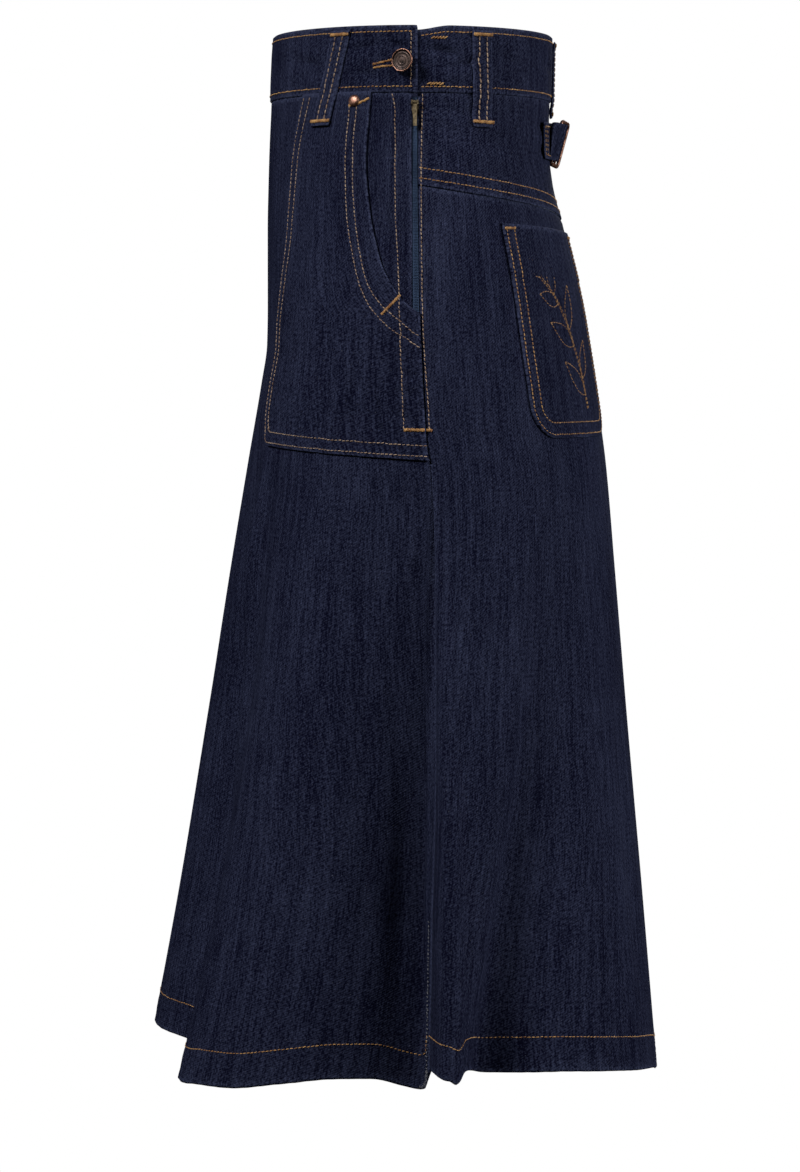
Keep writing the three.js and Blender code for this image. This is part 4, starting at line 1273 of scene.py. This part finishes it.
def seat_matrix(angle, drop, out):
    along, up, outward = (v.reshape(3) for v in axes(np.array([angle]), np.array([drop]), False, False))
    place = skin(np.array([angle]), np.array([drop]), out, False, False).reshape(3)
    rows = [[*(along[k], up[k], outward[k]), place[k] * MM] for k in range(3)]
    return Matrix(rows + [[0, 0, 0, 1]])


def put_down(points, matrix):
    """Moves millimetre points by a matrix in metres."""
    return np.array([matrix @ Vector([v * MM for v in p]) / MM for p in points])


def turned_piece(name, profile, segments, matrix, material):
    """A piece turned about its own Z from pairs of radius and height, closed on the axis."""
    angles = np.linspace(0, 2 * math.pi, segments, endpoint=False)
    points = [(0, 0, profile[0][1])]
    for radius, height in profile[1:-1]:
        points += [(radius * math.cos(a), radius * math.sin(a), height) for a in angles]
    points.append((0, 0, profile[-1][1]))
    rings = len(profile) - 2
    faces = []
    for k in range(segments):
        after = (k + 1) % segments
        faces.append((0, 1 + after, 1 + k))
        for r in range(rings - 1):
            low = 1 + r * segments
            faces.append((low + k, low + after, low + segments + after, low + segments + k))
        last = 1 + (rings - 1) * segments
        faces.append((last + k, last + after, len(points) - 1))
    return plain_mesh(name, put_down(points, matrix), faces, material)


def arc_profile(points):
    """Rounds a profile by cutting its corners twice."""
    shape = np.array(points, float)
    for _ in range(2):
        before = shape[:-1] * 0.75 + shape[1:] * 0.25
        after = shape[:-1] * 0.25 + shape[1:] * 0.75
        middle = np.stack([before, after], 1).reshape(-1, 2)
        shape = np.concatenate([shape[:1], middle[1:-1], shape[-1:]])
    return shape.tolist()


def make_button():
    radius = BUTTON["radius"]
    place = seat_matrix(BUTTON["angle"], BUTTON["drop"], BUTTON["lift"])
    tilt = Matrix.Rotation(-math.radians(BUTTON["tilt"]), 4, "Y")
    back = [(0, -0.9), (radius - 1.6, -0.9), (radius - 0.5, -0.7), (radius, 0.1), (radius - 0.15, 0.8)]
    rim = [(radius - 0.5, 1.1), (radius - 1.0, 1.05), (radius - 1.45, 0.5)]
    dish = [(radius - 2.2, 0.42), (radius - 2.6, 0.62), (radius - 3.0, 0.42)]
    middle = [(3.3, 0.38), (2.9, 0.6), (2.5, 0.4), (1.2, 0.55), (0, 0.62)]
    profile = arc_profile(back + rim + dish + middle)
    disc = turned_piece("waist_button_disc", profile, 56, place @ tilt, BRONZE)
    shank = BUTTON["shank"]
    foot = BAND_THICK / 2 - TUCK + GAP - BUTTON["lift"]
    post = [(0, foot), (shank + 0.8, foot), (shank + 0.9, foot + 0.5), (shank, foot + 1.1)]
    post += [(shank, -0.9), (0, -0.8)]
    turned_piece("waist_button_shank", post, 24, place, BRONZE)
    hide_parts("waist_button")
    raised = place @ tilt @ Matrix.Translation((0, 0, 0.75 * MM))
    make_ring("waist_button_rim", radius - 0.42, 0.5, raised, COPPER)


def make_ring(name, radius, tube, matrix, material):
    """A round ring about its own Z."""
    around = np.linspace(0, 2 * math.pi, 64, endpoint=False)
    section = np.linspace(0, 2 * math.pi, 12, endpoint=False)
    points = []
    for a in around:
        for s in section:
            reach = radius + tube * math.cos(s)
            points.append((reach * math.cos(a), reach * math.sin(a), tube * math.sin(s)))
    faces = tube_faces(len(around), len(section))
    return plain_mesh(name, put_down(points, matrix), faces, material)


def make_rivet(name, side):
    radius = RIVET["radius"]
    height = RIVET["height"]
    profile = [(0, -0.1), (radius + 0.1, -0.1), (radius + 0.2, 0.25), (radius, 0.5), (radius * 0.93, 0.75)]
    profile += [(radius * 0.75, height * 0.72), (radius * 0.45, height * 0.95), (0, height)]
    place = seat_matrix(side * RIVET["angle"], RIVET["drop"], PATCH_OUT + GAP)
    piece = turned_piece(name + "_head", arc_profile(profile), 40, place, COPPER)
    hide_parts(name)


def rounded_rectangle(width, height, radius, steps=8):
    points = []
    for cx, cy, start in ((1, 1, 0), (-1, 1, 90), (-1, -1, 180), (1, -1, 270)):
        for a in np.radians(np.linspace(start, start + 90, steps)):
            x = cx * (width / 2 - radius) + radius * math.cos(a)
            y = cy * (height / 2 - radius) + radius * math.sin(a)
            points.append((x, y))
    return np.array(points)


def make_buckle():
    """A rounded wire frame with a bar across its middle."""
    wire = BUCKLE["wire"]
    line = rounded_rectangle(BUCKLE["width"] - wire, BUCKLE["height"] - wire, BUCKLE["corner"] - wire / 2)
    heading = unit(np.roll(line, -1, 0) - np.roll(line, 1, 0))
    side = np.stack([heading[:, 1], -heading[:, 0]], -1)
    section = np.linspace(0, 2 * math.pi, 14, endpoint=False)
    reach = wire / 2 * np.sign(np.cos(section)) * np.abs(np.cos(section)) ** 0.75
    rise = BUCKLE["thick"] / 2 * np.sign(np.sin(section)) * np.abs(np.sin(section)) ** 0.75
    points = [
        (p[0] + s[0] * a, b, p[1] + s[1] * a) for p, s in zip(line, side) for a, b in zip(reach, rise)
    ]
    n = len(section)
    faces = tube_faces(len(line), n)
    first = len(points)
    half = BUCKLE["height"] / 2 - wire / 2
    for z in (-half, half):
        points += [(BUCKLE["bar"] / 2 * math.cos(s), 0.9 * math.sin(s), z) for s in section]
    faces += [(first + k, first + (k + 1) % n, first + n + (k + 1) % n, first + n + k) for k in range(n)]
    faces += [tuple(range(first, first + n)), tuple(range(first + n, first + 2 * n))]
    lean = Matrix.Rotation(-math.radians(STRAP_TILT), 4, "X")
    y = float(cloth_y(np.array(0.0), CINCH_DROP)) + BUCKLE_OUT
    swing = Matrix.Rotation(-math.radians(BUCKLE["swing"]), 4, "Z")
    near_bar = Matrix.Translation((BUCKLE_X, 0, 0))
    middle = Matrix.Translation((0, y, BAND_HEIGHT / 2 - CINCH_DROP))
    place = middle @ lean @ near_bar @ swing @ near_bar.inverted()
    placed = np.array([place @ Vector(p) for p in points])
    piece = plain_mesh("cinch_buckle_frame", placed, faces, COPPER)
    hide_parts("cinch_buckle")


def dress_kept_nodes():
    """Gives the solids that stay visible their finish."""
    for name, material in (("zip_tape", ZIP_BLUE), ("zip_slider", BRASS), ("zip_pull_tab", BRASS)):
        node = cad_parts[name]
        node.data.materials.clear()
        node.data.materials.append(material)


# Studio


def floor_material():
    """A pale floor that melts into the backdrop away from the skirt."""
    n = Nodes("studio_floor")
    place = n.add("ShaderNodeTexCoord").outputs["Object"]
    length = n.add("ShaderNodeVectorMath", {"operation": "LENGTH"})
    n.put(length.inputs[0], place)
    seen = n.add("ShaderNodeLightPath").outputs["Is Camera Ray"]
    glow = n.add("ShaderNodeEmission", Color=(1, 1, 1, 1), Strength=seen)
    n.put(n.shader.inputs["Base Color"], (0.9, 0.9, 0.9, 1))
    n.shader.inputs["Roughness"].default_value = 0.9
    both = n.add("ShaderNodeMixShader")
    n.put(both.inputs[0], n.ramp(length.outputs["Value"], 0.0, 0.7, 0.7, 1.0))
    n.put(both.inputs[1], n.shader.outputs[0])
    n.put(both.inputs[2], glow.outputs[0])
    n.put(n.tree.nodes["Material Output"].inputs["Surface"], both.outputs[0])
    return n.material


WORLD_LIGHT = 0.012
LIGHTS = (
    ("key", (1.95, -1.85, 1.75), (0.8, 0.8), 82),
    ("fill", (1.95, 2.3, 0.9), (0.8, 1.0), 16),
    ("right", (0.55, 3.05, 0.2), (0.8, 1.6), 52),
    ("left", (0.0, -3.1, 0.2), (0.8, 1.6), 5),
    ("behind", (-3.0, 0.3, 0.9), (1.6, 1.6), 50),
)


LIGHT_AIM = (0, 0, -0.33)
FLOOR_RADIUS = 60
FLOOR_PLACE = (0, 0, -1.1)


def make_floor():
    bpy.ops.mesh.primitive_circle_add(
        vertices=96, radius=FLOOR_RADIUS, fill_type="NGON", location=FLOOR_PLACE
    )
    floor = bpy.context.object
    floor.name = "floor"
    floor.data.materials.append(floor_material())


def make_light(name, place, size, power):
    data = bpy.data.lights.new(name, "AREA")
    data.shape = "RECTANGLE"
    data.size, data.size_y = size
    data.energy = power
    lamp = bpy.data.objects.new(name, data)
    lamp.location = place
    lamp.rotation_euler = (Vector(LIGHT_AIM) - Vector(place)).to_track_quat("-Z", "Y").to_euler()
    bpy.context.collection.objects.link(lamp)


def make_lights():
    world = bpy.data.worlds.new("studio")
    world.use_nodes = True
    tree = world.node_tree
    soft = tree.nodes["Background"]
    soft.inputs["Color"].default_value = (1, 1, 1, 1)
    soft.inputs["Strength"].default_value = WORLD_LIGHT
    backdrop = tree.nodes.new("ShaderNodeBackground")
    backdrop.inputs["Color"].default_value = (1, 1, 1, 1)
    backdrop.inputs["Strength"].default_value = 1.0
    seen = tree.nodes.new("ShaderNodeLightPath")
    both = tree.nodes.new("ShaderNodeMixShader")
    tree.links.new(seen.outputs["Is Camera Ray"], both.inputs[0])
    tree.links.new(soft.outputs[0], both.inputs[1])
    tree.links.new(backdrop.outputs[0], both.inputs[2])
    tree.links.new(both.outputs[0], tree.nodes["World Output"].inputs["Surface"])
    bpy.context.scene.world = world
    for name, place, size, power in LIGHTS:
        make_light(name, place, size, power)


PHOTO_HEIGHT = 1172
PHOTO_SCALE = 0.714 * MM
CAMERA_DISTANCE = 2.8
CAMERA_Y = -0.009
CAMERA_Z = -0.1855
HORIZON_ROW = 333
SENSOR = 36


def make_camera():
    data = bpy.data.cameras.new("camera")
    data.sensor_width = SENSOR
    data.lens = SENSOR * CAMERA_DISTANCE / (PHOTO_HEIGHT * PHOTO_SCALE)
    camera = bpy.data.objects.new("camera", data)
    camera.location = (CAMERA_DISTANCE, CAMERA_Y, CAMERA_Z)
    aim = Vector((0, CAMERA_Y, CAMERA_Z - (PHOTO_HEIGHT / 2 - HORIZON_ROW) * PHOTO_SCALE))
    camera.rotation_euler = (aim - camera.location).to_track_quat("-Z", "Y").to_euler()
    bpy.context.collection.objects.link(camera)
    bpy.context.scene.camera = camera
    bpy.context.scene.view_settings.view_transform = "Standard"


def make_cloth():
    make_front_panel()
    make_back_yoke()
    make_back_panel()
    make_waistband()
    make_front_pocket("front_pocket_left", 1)
    make_front_pocket("front_pocket_right", -1)
    make_back_pocket("back_pocket_left", 1)
    make_back_pocket("back_pocket_right", -1)
    for i in range(len(LOOPS["name"])):
        make_belt_loop(i)
    make_cinch_tab("cinch_tab_left", 1)
    make_cinch_tab("cinch_tab_right", -1)


def make_sewing():
    sew_waistband()
    sew_belt_loops()
    for side in (1, -1):
        sew_front_pocket(side)
        sew_back_pocket(side)
    sew_opening()
    sew_yoke()
    sew_hem()
    fray_hem()
    sew_cinch()
    sew_buttonhole()
    GOLD.make("stitches_gold", THREAD_GOLD)
    CREAM.make("stitches_cream", THREAD_CREAM)


def make_hardware():
    make_button()
    make_rivet("rivet_left", 1)
    make_rivet("rivet_right", -1)
    make_buckle()
    make_zip_coil()
    dress_kept_nodes()


make_camera()
make_lights()
make_floor()
make_cloth()
make_sewing()
make_hardware()
